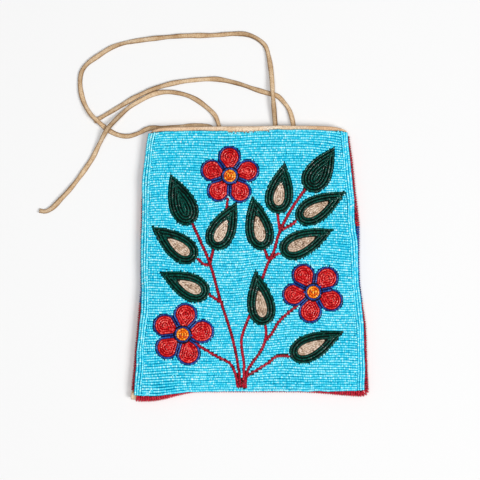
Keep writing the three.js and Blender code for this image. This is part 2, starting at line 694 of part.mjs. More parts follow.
addPiece("stem_top", geometryFrom(stemSolid(TOP_STEMS)), FINISH.crimson);

// Ground and border
const hemCutter = cutter(aboveHem(HEM_HEIGHT + CLEARANCE));
const footCutter = cutter(belowFoot(EDGE_LEG + CLEARANCE));
const drawingCutters = [...leafCutters(CLEARANCE), ...flowersCut(CLEARANCE), ...stemCutters];
const ground = cut(ridgedSheet().intersect(groundTool), [hemCutter, footCutter, ...drawingCutters]);
const [wideGround, innerGround] = ground.decompose().sort((a, b) => b.volume() - a.volume());
addPiece("bead_ground", geometryFrom(wideGround), FINISH.lightBlue);
addPiece("bead_ground_inner", geometryFrom(innerGround), FINISH.lightBlue);
addPiece("border_left", borderRows(-1), FINISH.lightBlue);
addPiece("border_right", borderRows(1), FINISH.lightBlue);

// Edge beading in its colour blocks
const edgeNames = [
  "edge_left_upper", "edge_left_middle", "edge_left_lower", "edge_foot",
  "edge_right_lower", "edge_right_middle", "edge_right_upper",
];
let station = 0;
seamRuns.forEach((run, i) => {
  const path = seam.slice(station, station + run.length);
  station += run.length - 1;
  const finish = edgeNames[i].endsWith("middle") ? FINISH.blue : FINISH.crimson;
  addPiece(edgeNames[i], swept(edgeSection(), drawnBack(path)), finish);
});

// The bag stands centred over its own bounds, thongs left aside
const bounds = new THREE.Box3().setFromObject(bag);
const centre = bounds.getCenter(new THREE.Vector3());
bag.position.set(-centre.x, -centre.y, -bounds.min.z);

// Thongs
addPiece("strap_thong", thong(STRAP_ROUTE), FINISH.thong);
addPiece("left_tie_thong", thong(LEFT_TIE_ROUTE), FINISH.thong);
addPiece("right_tie_thong", thong(RIGHT_TIE_ROUTE), FINISH.thong);

const part = new THREE.Group();
part.add(bag);

export default part;
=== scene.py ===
"""Beaded flat bag of hide: rows of seed beads, hide panels and thongs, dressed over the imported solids.

Lengths are millimetres until a mesh is made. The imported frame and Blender's scene are in metres.
The drawing's frame has x across the bag, y up from half its height and z above the table.
"""

import logging
import math
from dataclasses import dataclass, field
from enum import Enum, IntEnum
from typing import Sequence

import bpy
import numpy as np
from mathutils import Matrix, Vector
from mathutils.kdtree import KDTree


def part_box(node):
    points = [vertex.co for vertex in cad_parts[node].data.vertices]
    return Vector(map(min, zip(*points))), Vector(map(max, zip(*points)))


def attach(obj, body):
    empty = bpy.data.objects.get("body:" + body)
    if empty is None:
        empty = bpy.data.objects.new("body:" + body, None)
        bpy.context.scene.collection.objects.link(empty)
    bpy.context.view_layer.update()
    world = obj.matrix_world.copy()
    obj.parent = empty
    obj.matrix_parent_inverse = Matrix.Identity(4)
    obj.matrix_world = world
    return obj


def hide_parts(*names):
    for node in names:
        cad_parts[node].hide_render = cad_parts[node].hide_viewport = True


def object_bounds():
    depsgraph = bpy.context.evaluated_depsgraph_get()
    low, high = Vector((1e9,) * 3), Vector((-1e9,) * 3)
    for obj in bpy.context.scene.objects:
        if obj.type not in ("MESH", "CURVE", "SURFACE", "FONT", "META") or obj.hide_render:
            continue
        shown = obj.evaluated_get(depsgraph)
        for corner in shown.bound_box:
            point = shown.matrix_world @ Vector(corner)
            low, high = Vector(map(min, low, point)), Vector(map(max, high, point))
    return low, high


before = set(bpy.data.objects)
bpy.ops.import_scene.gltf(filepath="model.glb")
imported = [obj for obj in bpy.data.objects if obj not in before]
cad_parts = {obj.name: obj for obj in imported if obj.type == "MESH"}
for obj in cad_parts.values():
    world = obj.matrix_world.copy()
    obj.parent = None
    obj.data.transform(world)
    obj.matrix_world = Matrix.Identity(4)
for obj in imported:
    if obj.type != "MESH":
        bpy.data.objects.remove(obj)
CAD_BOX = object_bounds()

LOG = logging.getLogger("beaded_flat_bag")
Array = np.ndarray
Table = Sequence[tuple[float, float]]
MM = 0.001
FULL_TURN = 2 * np.pi
UPWARD = np.array([0.0, 0.0, 1.0])
ROOT = "root"
TONE = "bead_tone"  # mesh attribute: lighter or darker bead
GLINT = "bead_glint"  # mesh attribute: 1 on a bead that has kept its fire polish
WEAR_AND_SHADE = "wear_and_shade"  # mesh attribute: rubbed and handled hide, and painted shade on the hide under the beads
BAKE_MAP = "OFBake"
FIRST_SEED = 1905  # each piece adds its own number


class Seed(IntEnum):
    """Where each kind of piece starts its own random numbers."""

    GROUND = 0
    BORDER = 20
    FILL = 30
    LEAF = 100
    LEAF_CENTRE = 130
    FLOWER_OUTLINE = 200
    PETALS = 220
    FLOWER_CENTRE = 240
    STEM = 300
    EDGE_SHOW = 400
    EDGE = 410
    STITCHES = 500
    THONG = 600


def random_numbers(number: int) -> np.random.Generator:
    """The random numbers of one piece, the same in every run."""
    return np.random.default_rng(FIRST_SEED + number)


def linear(colour: str) -> tuple[float, float, float, float]:
    """Turns an sRGB hex colour into linear light.

    Args:
        colour: Six hex digits after a hash sign.

    Returns:
        Red, green, blue and an alpha of 1.
    """
    channels = [int(colour[i : i + 2], 16) / 255 for i in (1, 3, 5)]
    red, green, blue = (c / 12.92 if c <= 0.04045 else ((c + 0.055) / 1.055) ** 2.4 for c in channels)
    return red, green, blue, 1.0


def per_metre(size_mm: float) -> float:
    """The texture scale at which one feature of a pattern is this wide."""
    return 1.0 / (size_mm * MM)


def add_node(
    tree: bpy.types.NodeTree,
    kind: str,
    inputs: dict[str | int, object] | None = None,
    stops: Sequence[tuple[float, str]] = (),
    **settings: object,
) -> bpy.types.Node:
    """Adds one node with its settings, values and links.

    Args:
        tree: Node tree of a material or of the world.
        kind: Node type, without the leading ShaderNode.
        inputs: Socket name or number to its value, or to the output socket that feeds it.
        stops: Places and hex colours of a colour ramp.
        settings: Properties of the node itself.

    Returns:
        The new node.
    """
    node = tree.nodes.new("ShaderNode" + kind)
    for name, value in settings.items():
        setattr(node, name, value)
    for name, value in (inputs or {}).items():
        if isinstance(value, bpy.types.NodeSocket):
            tree.links.new(value, node.inputs[name])
        else:
            node.inputs[name].default_value = value
    if stops:
        ramp = node.color_ramp
        while len(ramp.elements) < len(stops):
            ramp.elements.new(1.0)
        for element, (place, colour) in zip(ramp.elements, stops):
            element.position = place
            element.color = linear(colour)
    return node


class Slot(Enum):
    """Material slots of the record."""

    HIDE = "hide"
    THONG = "thong"
    LIGHT_BLUE = "light_blue_beads"
    GREEN = "green_beads"
    TAN = "tan_beads"
    RED = "red_beads"
    COBALT = "cobalt_beads"
    ORANGE = "orange_beads"
    CRIMSON = "crimson_beads"


class Finish:
    """A finish whose material is one shader, fed by what the finish itself says."""

    label: str

    def surface(self, tree: bpy.types.NodeTree) -> dict[str, object]:
        """Values and links of the shader's sockets, which each finish gives for itself."""
        raise NotImplementedError

    def material(self) -> bpy.types.Material:
        """Makes the finish's material.

        Returns:
            The material, named for what it really is.
        """
        material = bpy.data.materials.new(self.label)
        material.use_nodes = True
        tree = material.node_tree
        tree.nodes.clear()
        shader = add_node(tree, "BsdfPrincipled", self.surface(tree))
        add_node(tree, "OutputMaterial", {"Surface": shader.outputs["BSDF"]})
        return material


@dataclass(frozen=True)
class SeedBeadGlass(Finish):
    """Opaque seed bead of drawn glass cane, cut and tumbled in the fire.

    The fire leaves a smooth skin with one small hard glint to a bead. Canes differ, so neighbours vary
    in tone. A bead is painted darker towards its neighbours: painted shade between the rows.
    """

    label: str
    deep: str
    dark: str
    body: str
    pale: str
    roughness: float = 0.12
    gloss: float = 0.45  # old handled glass glints less than a bead that has kept its polish

    STOPS = (0.0, 0.3, 0.6, 1.0)  # tones of the four colours

    def surface(self, tree: bpy.types.NodeTree) -> dict[str, object]:
        """Reads each bead's own tone and polish.

        Args:
            tree: The material's node tree.

        Returns:
            Values and links of the shader's sockets.
        """
        fresh = add_node(tree, "Attribute", attribute_name=GLINT).outputs["Fac"]
        level = {0: fresh, 1: 1.0 - self.gloss, 2: self.gloss}
        gloss = add_node(tree, "Math", level, operation="MULTIPLY_ADD")
        tone = add_node(tree, "Attribute", attribute_name=TONE).outputs["Fac"]
        stops = tuple(zip(self.STOPS, (self.deep, self.dark, self.body, self.pale)))
        colour = add_node(tree, "ValToRGB", {"Fac": tone}, stops)
        return {
            "Base Color": colour.outputs["Color"],
            "Roughness": self.roughness,
            "Specular IOR Level": gloss.outputs["Value"],
        }


@dataclass(frozen=True)
class NappedHide(Finish):
    """Brain-tanned hide, smoked and worked soft, with its nap outside.

    Smoke leaves cloudy warm patches, the nap scatters light without a glint, and handled edges go browner.
    Below the beads, where no light gets, the hide is painted as good as black: painted shade.
    """

    label: str
    pale: str
    body: str
    smoked: str
    worn: str
    cloud_mm: float = 22.0
    nap_mm: float = 0.9  # a real nap is finer; this coarse it still shows in the picture
    nap_depth_mm: float = 0.35
    nap_strength: float = 0.5
    nap_shade_share: float = 0.7
    roughness: float = 0.92
    gloss: float = 0.2
    sheen: float = 0.25
    sheen_roughness: float = 0.6

    CLOUD = {"Detail": 5.0, "Roughness": 0.62}
    CLOUD_STOPS = (0.3, 0.5, 0.72)  # of smoked, body and pale
    NAP = {"Detail": 4.0, "Roughness": 0.7}
    NAP_SHADE_STOPS = ((0.36, "#b08f72"), (0.56, "#ffffff"))  # painted shade: the nap's hollows, low in the noise that also gives its relief, are made darker
    CLEAN = "#ffffff"
    # painted shade: the hide's colour under the beads
    SHADE_UNDER_BEADS = "#2c221c"
    WEAR_AND_SHADE_STOPS = (0.0, 0.5, 1.0)  # of clean, worn and the painted shade under the beads

    def surface(self, tree: bpy.types.NodeTree) -> dict[str, object]:
        """Lays clouds of smoke, a nap and worn edges over one another.

        Args:
            tree: The material's node tree.

        Returns:
            Values and links of the shader's sockets.
        """
        place = add_node(tree, "TexCoord").outputs["Object"]
        cloud, nap = (
            add_node(tree, "TexNoise", {"Vector": place, "Scale": per_metre(size), **look}).outputs["Fac"]
            for size, look in ((self.cloud_mm, self.CLOUD), (self.nap_mm, self.NAP))
        )
        wear_and_shade = add_node(tree, "Attribute", attribute_name=WEAR_AND_SHADE).outputs["Fac"]
        smoke = tuple(zip(self.CLOUD_STOPS, (self.smoked, self.body, self.pale)))
        # its last stop is the painted shade under the beads
        soil = tuple(zip(self.WEAR_AND_SHADE_STOPS, (self.CLEAN, self.worn, self.SHADE_UNDER_BEADS)))
        ramps = ((cloud, smoke), (nap, self.NAP_SHADE_STOPS), (wear_and_shade, soil))
        colour, nap_shade, tint = (
            add_node(tree, "ValToRGB", {"Fac": value}, stops).outputs["Color"] for value, stops in ramps
        )
        # Painted shade in the nap's hollows, then the wear and the shade under the beads, darken the colour.
        for share, layer in ((self.nap_shade_share, nap_shade), (1.0, tint)):
            layers = {"Fac": share, "Color1": colour, "Color2": layer}
            colour = add_node(tree, "MixRGB", layers, blend_type="MULTIPLY").outputs["Color"]
        relief = {"Height": nap, "Strength": self.nap_strength, "Distance": self.nap_depth_mm * MM}
        return {
            "Base Color": colour,
            "Roughness": self.roughness,
            "Specular IOR Level": self.gloss,
            "Sheen Weight": self.sheen,
            "Sheen Roughness": self.sheen_roughness,
            "Normal": add_node(tree, "Bump", relief).outputs["Normal"],
        }


@dataclass(frozen=True)
class PlainPaper(Finish):
    """Matt white paper under the bag: it takes soft shadows and shows no grain."""

    label: str = "matt_white_paper"
    colour: str = "#f3f3f3"
    roughness: float = 0.9

    def surface(self, tree: bpy.types.NodeTree) -> dict[str, object]:
        """One even colour."""
        return {"Base Color": linear(self.colour), "Roughness": self.roughness}


FINISHES: dict[Slot, Finish] = {
    Slot.HIDE: NappedHide("smoked_buckskin", "#fff6e8", "#fdead0", "#eccfaa", "#dcae78"),
    Slot.THONG: NappedHide("cut_hide_thong", "#f5e2c6", "#e4c8a2", "#c4a178", "#b8a488", cloud_mm=14.0),
    # The light blue's pale, near white, is a painted highlight on the crests of the ground's beads.
    Slot.LIGHT_BLUE: SeedBeadGlass(
        "light_blue_seed_bead", "#00a0cc", "#06c2e8", "#50ebfd", "#f0ffff", gloss=0.34
    ),
    Slot.GREEN: SeedBeadGlass(
        "dark_green_seed_bead", "#000806", "#001a15", "#004237", "#056a5c", gloss=0.24
    ),
    Slot.TAN: SeedBeadGlass("tan_seed_bead", "#7e6450", "#b4967d", "#d2b79f", "#ecdac9"),
    Slot.RED: SeedBeadGlass("red_seed_bead", "#880107", "#b4040d", "#d81018", "#ff7468"),
    Slot.COBALT: SeedBeadGlass("cobalt_seed_bead", "#030a26", "#08205a", "#123c90", "#3a70c4"),
    Slot.ORANGE: SeedBeadGlass("orange_seed_bead", "#b83200", "#e65600", "#fc7e08", "#ffbc3a"),
    Slot.CRIMSON: SeedBeadGlass("crimson_seed_bead", "#36030c", "#78081a", "#ac1228", "#d8283e"),
}


def smooth_step(value: Array, low: float, high: float) -> Array:
    """Rises softly from 0 at low to 1 at high."""
    t = np.clip((value - low) / (high - low), 0.0, 1.0)
    return t * t * (3.0 - 2.0 * t)


def run(table: Table, at: Array) -> Array:
    """Reads a value between the entries of a table."""
    places, values = zip(*table)
    return np.interp(at, places, values)


def waves(at: Array, *parts: tuple[float, float, float]) -> Array:
    """The sum of sine waves, each given by its height, its length for one radian and its phase."""
    return sum(height * np.sin(at / length + phase) for height, length, phase in parts)


def unit(vectors: Array) -> Array:
    """The vectors at length 1."""
    return vectors / np.maximum(np.linalg.norm(vectors, axis=-1, keepdims=True), 1e-12)


def left_of(directions: Array) -> Array:
    """Flat directions turned a quarter to the left."""
    return np.stack([-directions[..., 1], directions[..., 0]], axis=-1)


def distances(line: Array) -> Array:
    """How far along a line each of its points lies."""
    return np.concatenate([[0.0], np.cumsum(np.linalg.norm(np.diff(line, axis=0), axis=1))])


def ring_turns(sides: int) -> Array:
    """Evenly spread angles round a ring."""
    return np.arange(sides) * FULL_TURN / sides


def smooth_path(points: Sequence[Sequence[float]], step: float) -> Array:
    """Runs a centripetal Catmull-Rom curve through points.

    Args:
        points: Two or more points, in two or three dimensions.
        step: Distance between neighbouring samples, about.

    Returns:
        The samples along the curve, with both ends.
    """
    given = np.asarray(points, float)
    padded = np.vstack([2 * given[0] - given[1], given, 2 * given[-1] - given[-2]])
    knots = np.concatenate([[0.0], np.cumsum(np.sqrt(np.linalg.norm(np.diff(padded, axis=0), axis=1)))])
    runs = []
    for i in range(1, len(padded) - 2):
        count = max(2, math.ceil(np.linalg.norm(padded[i + 1] - padded[i]) / step))
        t = np.linspace(knots[i], knots[i + 1], count, endpoint=False)[:, None]
        k0, k1, k2, k3 = knots[i - 1 : i + 3]
        p0, p1, p2, p3 = padded[i - 1 : i + 3]
        a1 = ((k1 - t) * p0 + (t - k0) * p1) / (k1 - k0)
        a2 = ((k2 - t) * p1 + (t - k1) * p2) / (k2 - k1)
        a3 = ((k3 - t) * p2 + (t - k2) * p3) / (k3 - k2)
        b1 = ((k2 - t) * a1 + (t - k0) * a2) / (k2 - k0)
        b2 = ((k3 - t) * a2 + (t - k1) * a3) / (k3 - k1)
        runs.append(((k2 - t) * b1 + (t - k1) * b2) / (k2 - k1))
    return np.vstack([*runs, given[-1:]])


def spaced(path: Array, pitch: float, closed: bool = False) -> tuple[Array, Array]:
    """Spreads places evenly along a path.

    Args:
        path: Points of the path.
        pitch: Distance between neighbouring places, about.
        closed: Whether the path runs back to its start.

    Returns:
        The places, and the direction of the path at each.
    """
    line = np.vstack([path, path[:1]]) if closed else path
    along = distances(line)
    count = max(1, round(along[-1] / pitch))
    at = (np.arange(count) + 0.5) * along[-1] / count

    def sample(where: Array) -> Array:
        """Points of the line at distances along it."""
        return np.stack([np.interp(where, along, line[:, i]) for i in range(line.shape[1])], axis=1)

    reach = 0.4 * pitch  # a bead takes its direction from a little less than its own length
    return sample(at), unit(sample(at + reach) - sample(at - reach))


def inside(polygon: Array, points: Array) -> Array:
    """Tells which points lie inside a closed polygon.

    Args:
        polygon: Corners in order.
        points: Points to test.

    Returns:
        One truth value for each point.
    """
    result = np.zeros(len(points), bool)
    near = ((points >= polygon.min(0)) & (points <= polygon.max(0))).all(1)
    tested = points[near]
    hit = np.zeros(len(tested), bool)
    for (x0, y0), (x1, y1) in zip(polygon, np.roll(polygon, -1, axis=0)):
        if y0 == y1:
            continue
        crosses = (tested[:, 1] < y0) != (tested[:, 1] < y1)
        hit ^= crosses & (tested[:, 0] < x0 + (tested[:, 1] - y0) * (x1 - x0) / (y1 - y0))
    result[near] = hit
    return result


def grid(low: Array, high: Array, step: float) -> Array:
    """Evenly spread flat places within a box, row by row, from its lower left to its upper right corner."""
    x, y = np.meshgrid(np.arange(low[0], high[0], step), np.arange(low[1], high[1], step))
    return np.column_stack([x.ravel(), y.ravel()])


def mesh_object(name: str, corners: Array, loops: Array, sizes: Array) -> bpy.types.Object:
    """Makes a smooth-shaded object out of faces of any size.

    Args:
        name: Name of the object.
        corners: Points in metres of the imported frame.
        loops: Corner numbers, face after face.
        sizes: How many corners each face has.

    Returns:
        The object, linked to the scene.
    """
    mesh = bpy.data.meshes.new(name)
    mesh.vertices.add(len(corners))
    mesh.vertices.foreach_set("co", np.ascontiguousarray(corners, np.float32).ravel())
    mesh.loops.add(len(loops))
    mesh.loops.foreach_set("vertex_index", np.ascontiguousarray(loops, np.int32))
    mesh.polygons.add(len(sizes))
    starts = np.concatenate([[0], np.cumsum(sizes)[:-1]])
    mesh.polygons.foreach_set("loop_start", np.ascontiguousarray(starts, np.int32))
    mesh.polygons.foreach_set("use_smooth", np.ones(len(sizes), bool))
    mesh.update(calc_edges=True)
    mesh.validate()
    made = bpy.data.objects.new(name, mesh)
    bpy.context.scene.collection.objects.link(made)
    return made


def set_attribute(piece: bpy.types.Object, name: str, values: Array) -> None:
    """Stores one number for each corner point of a piece's mesh under a name."""
    attribute = piece.data.attributes.new(name, "FLOAT", "POINT")
    attribute.data.foreach_set("value", np.ascontiguousarray(values, np.float32))


def tube_faces(rings: int, sides: int) -> tuple[Array, Array]:
    """Faces of a tube of rings, with its two ends closed.

    Args:
        rings: How many rings the tube has.
        sides: How many points each ring has.

    Returns:
        Corner numbers face after face, and the size of each face.
    """
    r, k = np.meshgrid(np.arange(rings - 1), np.arange(sides), indexing="ij")
    low, high, after = r * sides, (r + 1) * sides, (k + 1) % sides
    quads = np.stack([low + k, low + after, high + after, high + k], axis=-1)
    ends = np.arange(sides)[::-1], np.arange(sides) + (rings - 1) * sides
    sizes = np.full(quads.shape[0] * quads.shape[1], 4), np.array([sides, sides])
    return np.concatenate([quads.ravel(), *ends]), np.concatenate(sizes)


@dataclass
class BagShape:
    """Outline of the bag and height of its front, in the drawing's frame."""

    height: float = 243.5
    foot_width: float = 209.5
    mouth_width: float = 176.0
    side_swell: float = 1.8
    left_hang: float = 8.4
    right_hang: float = 4.0
    left_span: tuple[float, float] = (0.42, 0.87)
    right_span: tuple[float, float] = (0.38, 1.0)
    mouth_bow: float = 1.2
    mouth_fall: float = 4.0
    mouth_fall_power: float = 14.0
    mouth_reach: float = 1.05  # share of half the mouth beyond which the rim falls no further
    full_hem: float = 4.0  # depth at which the hem's edge is as uneven as it gets
    seam_inset: float = 2.4  # from the outline over the beaded edge in to the edge of the hide
    seam_top: float = 5.8
    front_top: float = 8.25
    shoulder: float = 2.4  # length over which the front rounds down to the seam
    ripple: float = 0.1  # how far the soft front waves up and down
    half_height: float = field(init=False)
    origin_y: float = field(init=False)

    # How far each hand-sewn side strays outwards from the cut pattern: height, distance.
    LEFT_STRAY = (
        (-105, 1.0), (-91, 0.4), (-77, 0.3), (-63, -0.4), (-49, -0.7), (-35, -1.2), (-21, -1.7),
        (-7, -0.9), (21, 0.4), (50, 1.6), (78, 2.2), (106, 1.9), (113, 1.3), (118, 0.2),
    )
    RIGHT_STRAY = (
        (-105, 1.3), (-91, 1.5), (-77, 1.9), (-63, 2.3), (-52, 2.3), (-40, 1.0), (-28, 0.0), (-18, -0.9),
        (0, -0.6), (21, 0.6), (34, 1.5), (52, 0.8), (66, 0.0), (92, -0.1), (106, -0.8),
    )
    # How much of the beaded edge shows beside the front's own beading: height (or distance across), width.
    LEFT_SHOW = (
        (-110, 3.2), (-91, 3.0), (-75, 1.9), (-58, 2.3), (-42, 3.1), (-28, 2.0), (-15, 1.1), (57, 1.1),
        (70, 0.2), (110, 0.2),
    )
    RIGHT_SHOW = (
        (-106, 4.6), (-93, 3.1), (-49, 2.8), (-36, 2.0), (-22, 1.5), (0, 1.8), (13, 2.2), (21, 2.6),
        (30, 4.2), (39, 4.6), (57, 3.0), (83, 3.1), (110, 2.1),
    )
    FOOT_SHOW = (
        (-103, 6.2), (-90, 5.9), (-80, 4.8), (-65, 3.2), (-54, 1.8), (-47, 0.9), (-30, 1.3), (50, 1.3),
        (60, 2.7), (70, 3.2), (79, 4.4), (86, 5.3), (97, 6.0),
    )
    # How far the rim strays upwards, and the depth of the hem: distance across, distance.
    RIM_STRAY = ((-88, 0.0), (5, 0.0), (25, 0.8), (72, 0.8), (84, 0.3), (88, 0.0))
    HEM = (
        (-89, 0.6), (-84, 2.0), (-76, 3.1), (-62, 3.8), (-55, 3.5), (-30, 3.5), (-20, 4.2), (-12, 5.0),
        (0, 4.4), (15, 3.9), (30, 3.6), (60, 3.7), (72, 3.4), (79, 2.6), (86, 1.0),
    )
    HEM_WAVES = ((0.25, 5.0, 0.7), (0.2, 2.7, 2.0))
    # Waves of the soft front: length and phase across and up, then the lengths and share of a slanting one.
    RIPPLE_ACROSS, RIPPLE_UP = (31.0, 1.3), (43.0, 0.4)
    RIPPLE_SLANT, SLANT_SHARE = (17.0, 23.0), 0.5

    def __post_init__(self) -> None:
        """Takes the drawing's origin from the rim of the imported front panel."""
        self.half_height = self.height / 2
        self.origin_y = self.half_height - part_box("front_panel")[1].y / MM

    def half_width(self, y: Array) -> Array:
        """Half of the pattern's width over the beaded edges.

        Args:
            y: Heights.

        Returns:
            The half width at each height.
        """
        t = (np.asarray(y, float) + self.half_height) / self.height
        straight = (self.foot_width + (self.mouth_width - self.foot_width) * t) / 2
        return straight + self.side_swell * np.sin(np.pi * t * t)

    def side(self, sign: Array, y: Array) -> Array:
        """Distance from the middle line out to the left (-1) or right (1) side as sewn."""
        stray = np.where(np.asarray(sign) < 0, run(self.LEFT_STRAY, y), run(self.RIGHT_STRAY, y))
        return self.half_width(y) + stray

    def side_show(self, sign: Array, y: Array) -> Array:
        """Width of the beaded edge that shows at a height of one side."""
        return np.where(np.asarray(sign) < 0, run(self.LEFT_SHOW, y), run(self.RIGHT_SHOW, y))

    def rim(self, x: Array) -> Array:
        """The rim of the mouth.

        Args:
            x: Distances across.

        Returns:
            Its height at each distance.
        """
        across = np.asarray(x, float)
        top = self.half_height - self.mouth_fall
        share = np.abs(across) / (self.mouth_width / 2 + self.side(across, top) - self.half_width(top))
        steep = np.minimum(share, self.mouth_reach) ** self.mouth_fall_power
        fall = self.mouth_bow * share**2 + self.mouth_fall * steep
        return self.half_height - fall + run(self.RIM_STRAY, x)

    def foot(self, x: Array) -> Array:
        """The foot over its beaded edge.

        Args:
            x: Distances across.

        Returns:
            Its height at each distance.
        """
        across = np.asarray(x, float)
        share = np.abs(across) / (self.foot_width / 2)
        left = self.left_hang * smooth_step(share, *self.left_span)
        right = self.right_hang * smooth_step(share, *self.right_span)
        return self.left_hang - np.where(across < 0, left, right) - self.half_height

    def seam_foot(self, share: float) -> float:
        """Height of the hide's lower edge at a share of half the foot."""
        return float(self.foot(share * (self.foot_width / 2 - self.seam_inset))) + self.seam_inset

    def bottom(self, x: Array) -> Array:
        """Lower limit of the front's own beading at a distance across."""
        return self.foot(x) + run(self.FOOT_SHOW, x)

    def hem_edge(self, x: Array) -> Array:
        """The lower, uneven edge of the hem.

        Args:
            x: Distances across.

        Returns:
            Its height at each distance.
        """
        across = np.asarray(x, float)
        depth = run(self.HEM, across)
        uneven = waves(across, *self.HEM_WAVES) * np.minimum(depth / self.full_hem, 1.0)
        return self.rim(across) - depth - uneven

    def face(self, x: Array, y: Array) -> Array:
        """The hide's outer face: soft, and rounded down to the seam on three sides.

        Args:
            x: Distances across.
            y: Heights up the bag.

        Returns:
            The face's height above the table at each place.
        """
        fall = self.front_top - self.seam_top
        side = np.maximum(self.side(x, y) - np.abs(x) - self.seam_inset, 0)
        low = np.maximum(y - self.foot(x) - self.seam_inset, 0)
        drop = fall * np.maximum(np.exp(-side / self.shoulder), np.exp(-low / self.shoulder))
        (long_x, phase_x), (long_y, phase_y) = self.RIPPLE_ACROSS, self.RIPPLE_UP
        slant_x, slant_y = self.RIPPLE_SLANT
        wave = np.sin(x / long_x + phase_x) * np.sin(y / long_y + phase_y)
        wave = wave + self.SLANT_SHARE * np.sin(x / slant_x - y / slant_y)
        return self.front_top - drop + self.ripple * (1 - drop / fall) * wave

    def place(self, shares: Sequence[float]) -> Array:
        """A point of the drawing.

        Args:
            shares: Its shares of half the width at its height and of half the height.

        Returns:
            The point.
        """
        across, up = shares
        y = up * self.half_height
        return np.array([across * float(self.half_width(y)), y])

    def to_row(self, points: Array) -> Array:
        """Points of the drawing's frame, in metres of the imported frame."""
        return (points - np.array([0.0, self.origin_y, 0.0])) * MM


@dataclass
class Teardrop:
    """A teardrop outline from its point to its round end."""

    tip: Array
    end: Array
    width: float
    sharpness: float
    tip_inset: float = 1.0  # how much faster than its flanks the point draws in

    STATIONS = 96
    FINE_STATIONS = 480
    SLACK = 0.06  # how much nearer than its distance a contour may come to the outline
    LEAST_POINTS = 12  # a shorter row isn't sewn
    FILL_STEP = 0.35

    def outline(self, inset: float, stations: int = STATIONS) -> Array:
        """The outline, drawn in by an inset, or let out by one below zero.

        Args:
            inset: Distance from the teardrop's own outline.
            stations: Points of the outline.

        Returns:
            Points from the tip round; none where the inset leaves nothing.
        """
        along = unit(self.tip - self.end)
        tip = self.tip - along * inset * (self.tip_inset if inset > 0 else 1.0)
        end = self.end + along * inset
        half_length = float((tip - end) @ along) / 2
        half_width = self.width / 2 - inset
        if half_length <= 0 or half_width <= 0:
            return np.empty((0, 2))
        angle = np.linspace(0, FULL_TURN, stations, endpoint=False)
        bulge = np.sin(angle) * np.abs(np.sin(angle / 2)) ** self.sharpness
        widest = 2 * math.atan(math.sqrt(self.sharpness + 1))
        most = math.sin(widest) * math.sin(widest / 2) ** self.sharpness
        forward = half_length * np.cos(angle)[:, None] * along
        return (tip + end) / 2 + forward + (half_width / most * bulge)[:, None] * left_of(along)

    def contour(self, inset: float) -> Array:
        """A line that keeps one distance from the outline all the way round, as rows are sewn.

        Args:
            inset: Distance of the line from the outline, below zero outside it.

        Returns:
            Points from the tip round; none where the inset leaves nothing.
        """
        edge = self.outline(0.0, self.FINE_STATIONS)
        along = unit(np.roll(edge, -1, axis=0) - np.roll(edge, 1, axis=0))
        line = edge + inset * left_of(along)
        reach = np.linalg.norm(line[:, None] - edge[None], axis=2).min(axis=1)
        return line[(reach > abs(inset) - self.SLACK) & (inside(edge, line) == (inset > 0))]

    def core(self, inset: float) -> "Teardrop":
        """The smaller teardrop that an inset leaves.

        Args:
            inset: Distance from this teardrop's outline.

        Returns:
            The smaller one.
        """
        along = unit(self.tip - self.end)
        ends = self.tip - along * inset * self.tip_inset, self.end + along * inset
        return Teardrop(*ends, self.width - 2 * inset, self.sharpness, self.tip_inset)

    def rows(self, first: float, pitch: float, last: float) -> list[Array]:
        """Points of the contour rows from a first inset inwards, a pitch apart, none beyond a last one."""
        lines = [self.contour(inset) for inset in np.arange(first, last, pitch)]
        return [line for line in lines if len(line) > self.LEAST_POINTS]

    def places(self, inset: float) -> Array:
        """Places inside the outline, clear of it by an inset, that may take a single bead.

        Args:
            inset: Distance from the outline.

        Returns:
            The places, row by row.
        """
        edge = self.outline(0)
        places = grid(edge.min(0), edge.max(0), self.FILL_STEP)
        return places[inside(self.outline(inset), places)]


@dataclass
class Petal(Teardrop):
    """A petal: a teardrop held between the gores beside it, so that its flanks run straight."""

    middle: Array = field(default_factory=lambda: np.zeros(2))  # of the flower
    gores: tuple[Array, ...] = ()  # direction of the gore on either side
    gore_half: float = 2.15  # room for one cobalt row on the petal's own side of a gore

    def outline(self, inset: float, stations: int = Teardrop.STATIONS) -> Array:
        """The teardrop's outline, drawn back to the petal's own side of each gore.

        Args:
            inset: Distance from the petal's own outline.
            stations: Points of the outline.

        Returns:
            Points from the tip round; none where the inset leaves nothing.
        """
        points = super().outline(inset, stations)
        for gore in self.gores:
            across = left_of(gore)
            across *= np.sign(across @ (self.end - self.middle))
            short = self.gore_half + inset - (points - self.middle) @ across
            points = points + np.maximum(short, 0.0)[:, None] * across
        return points


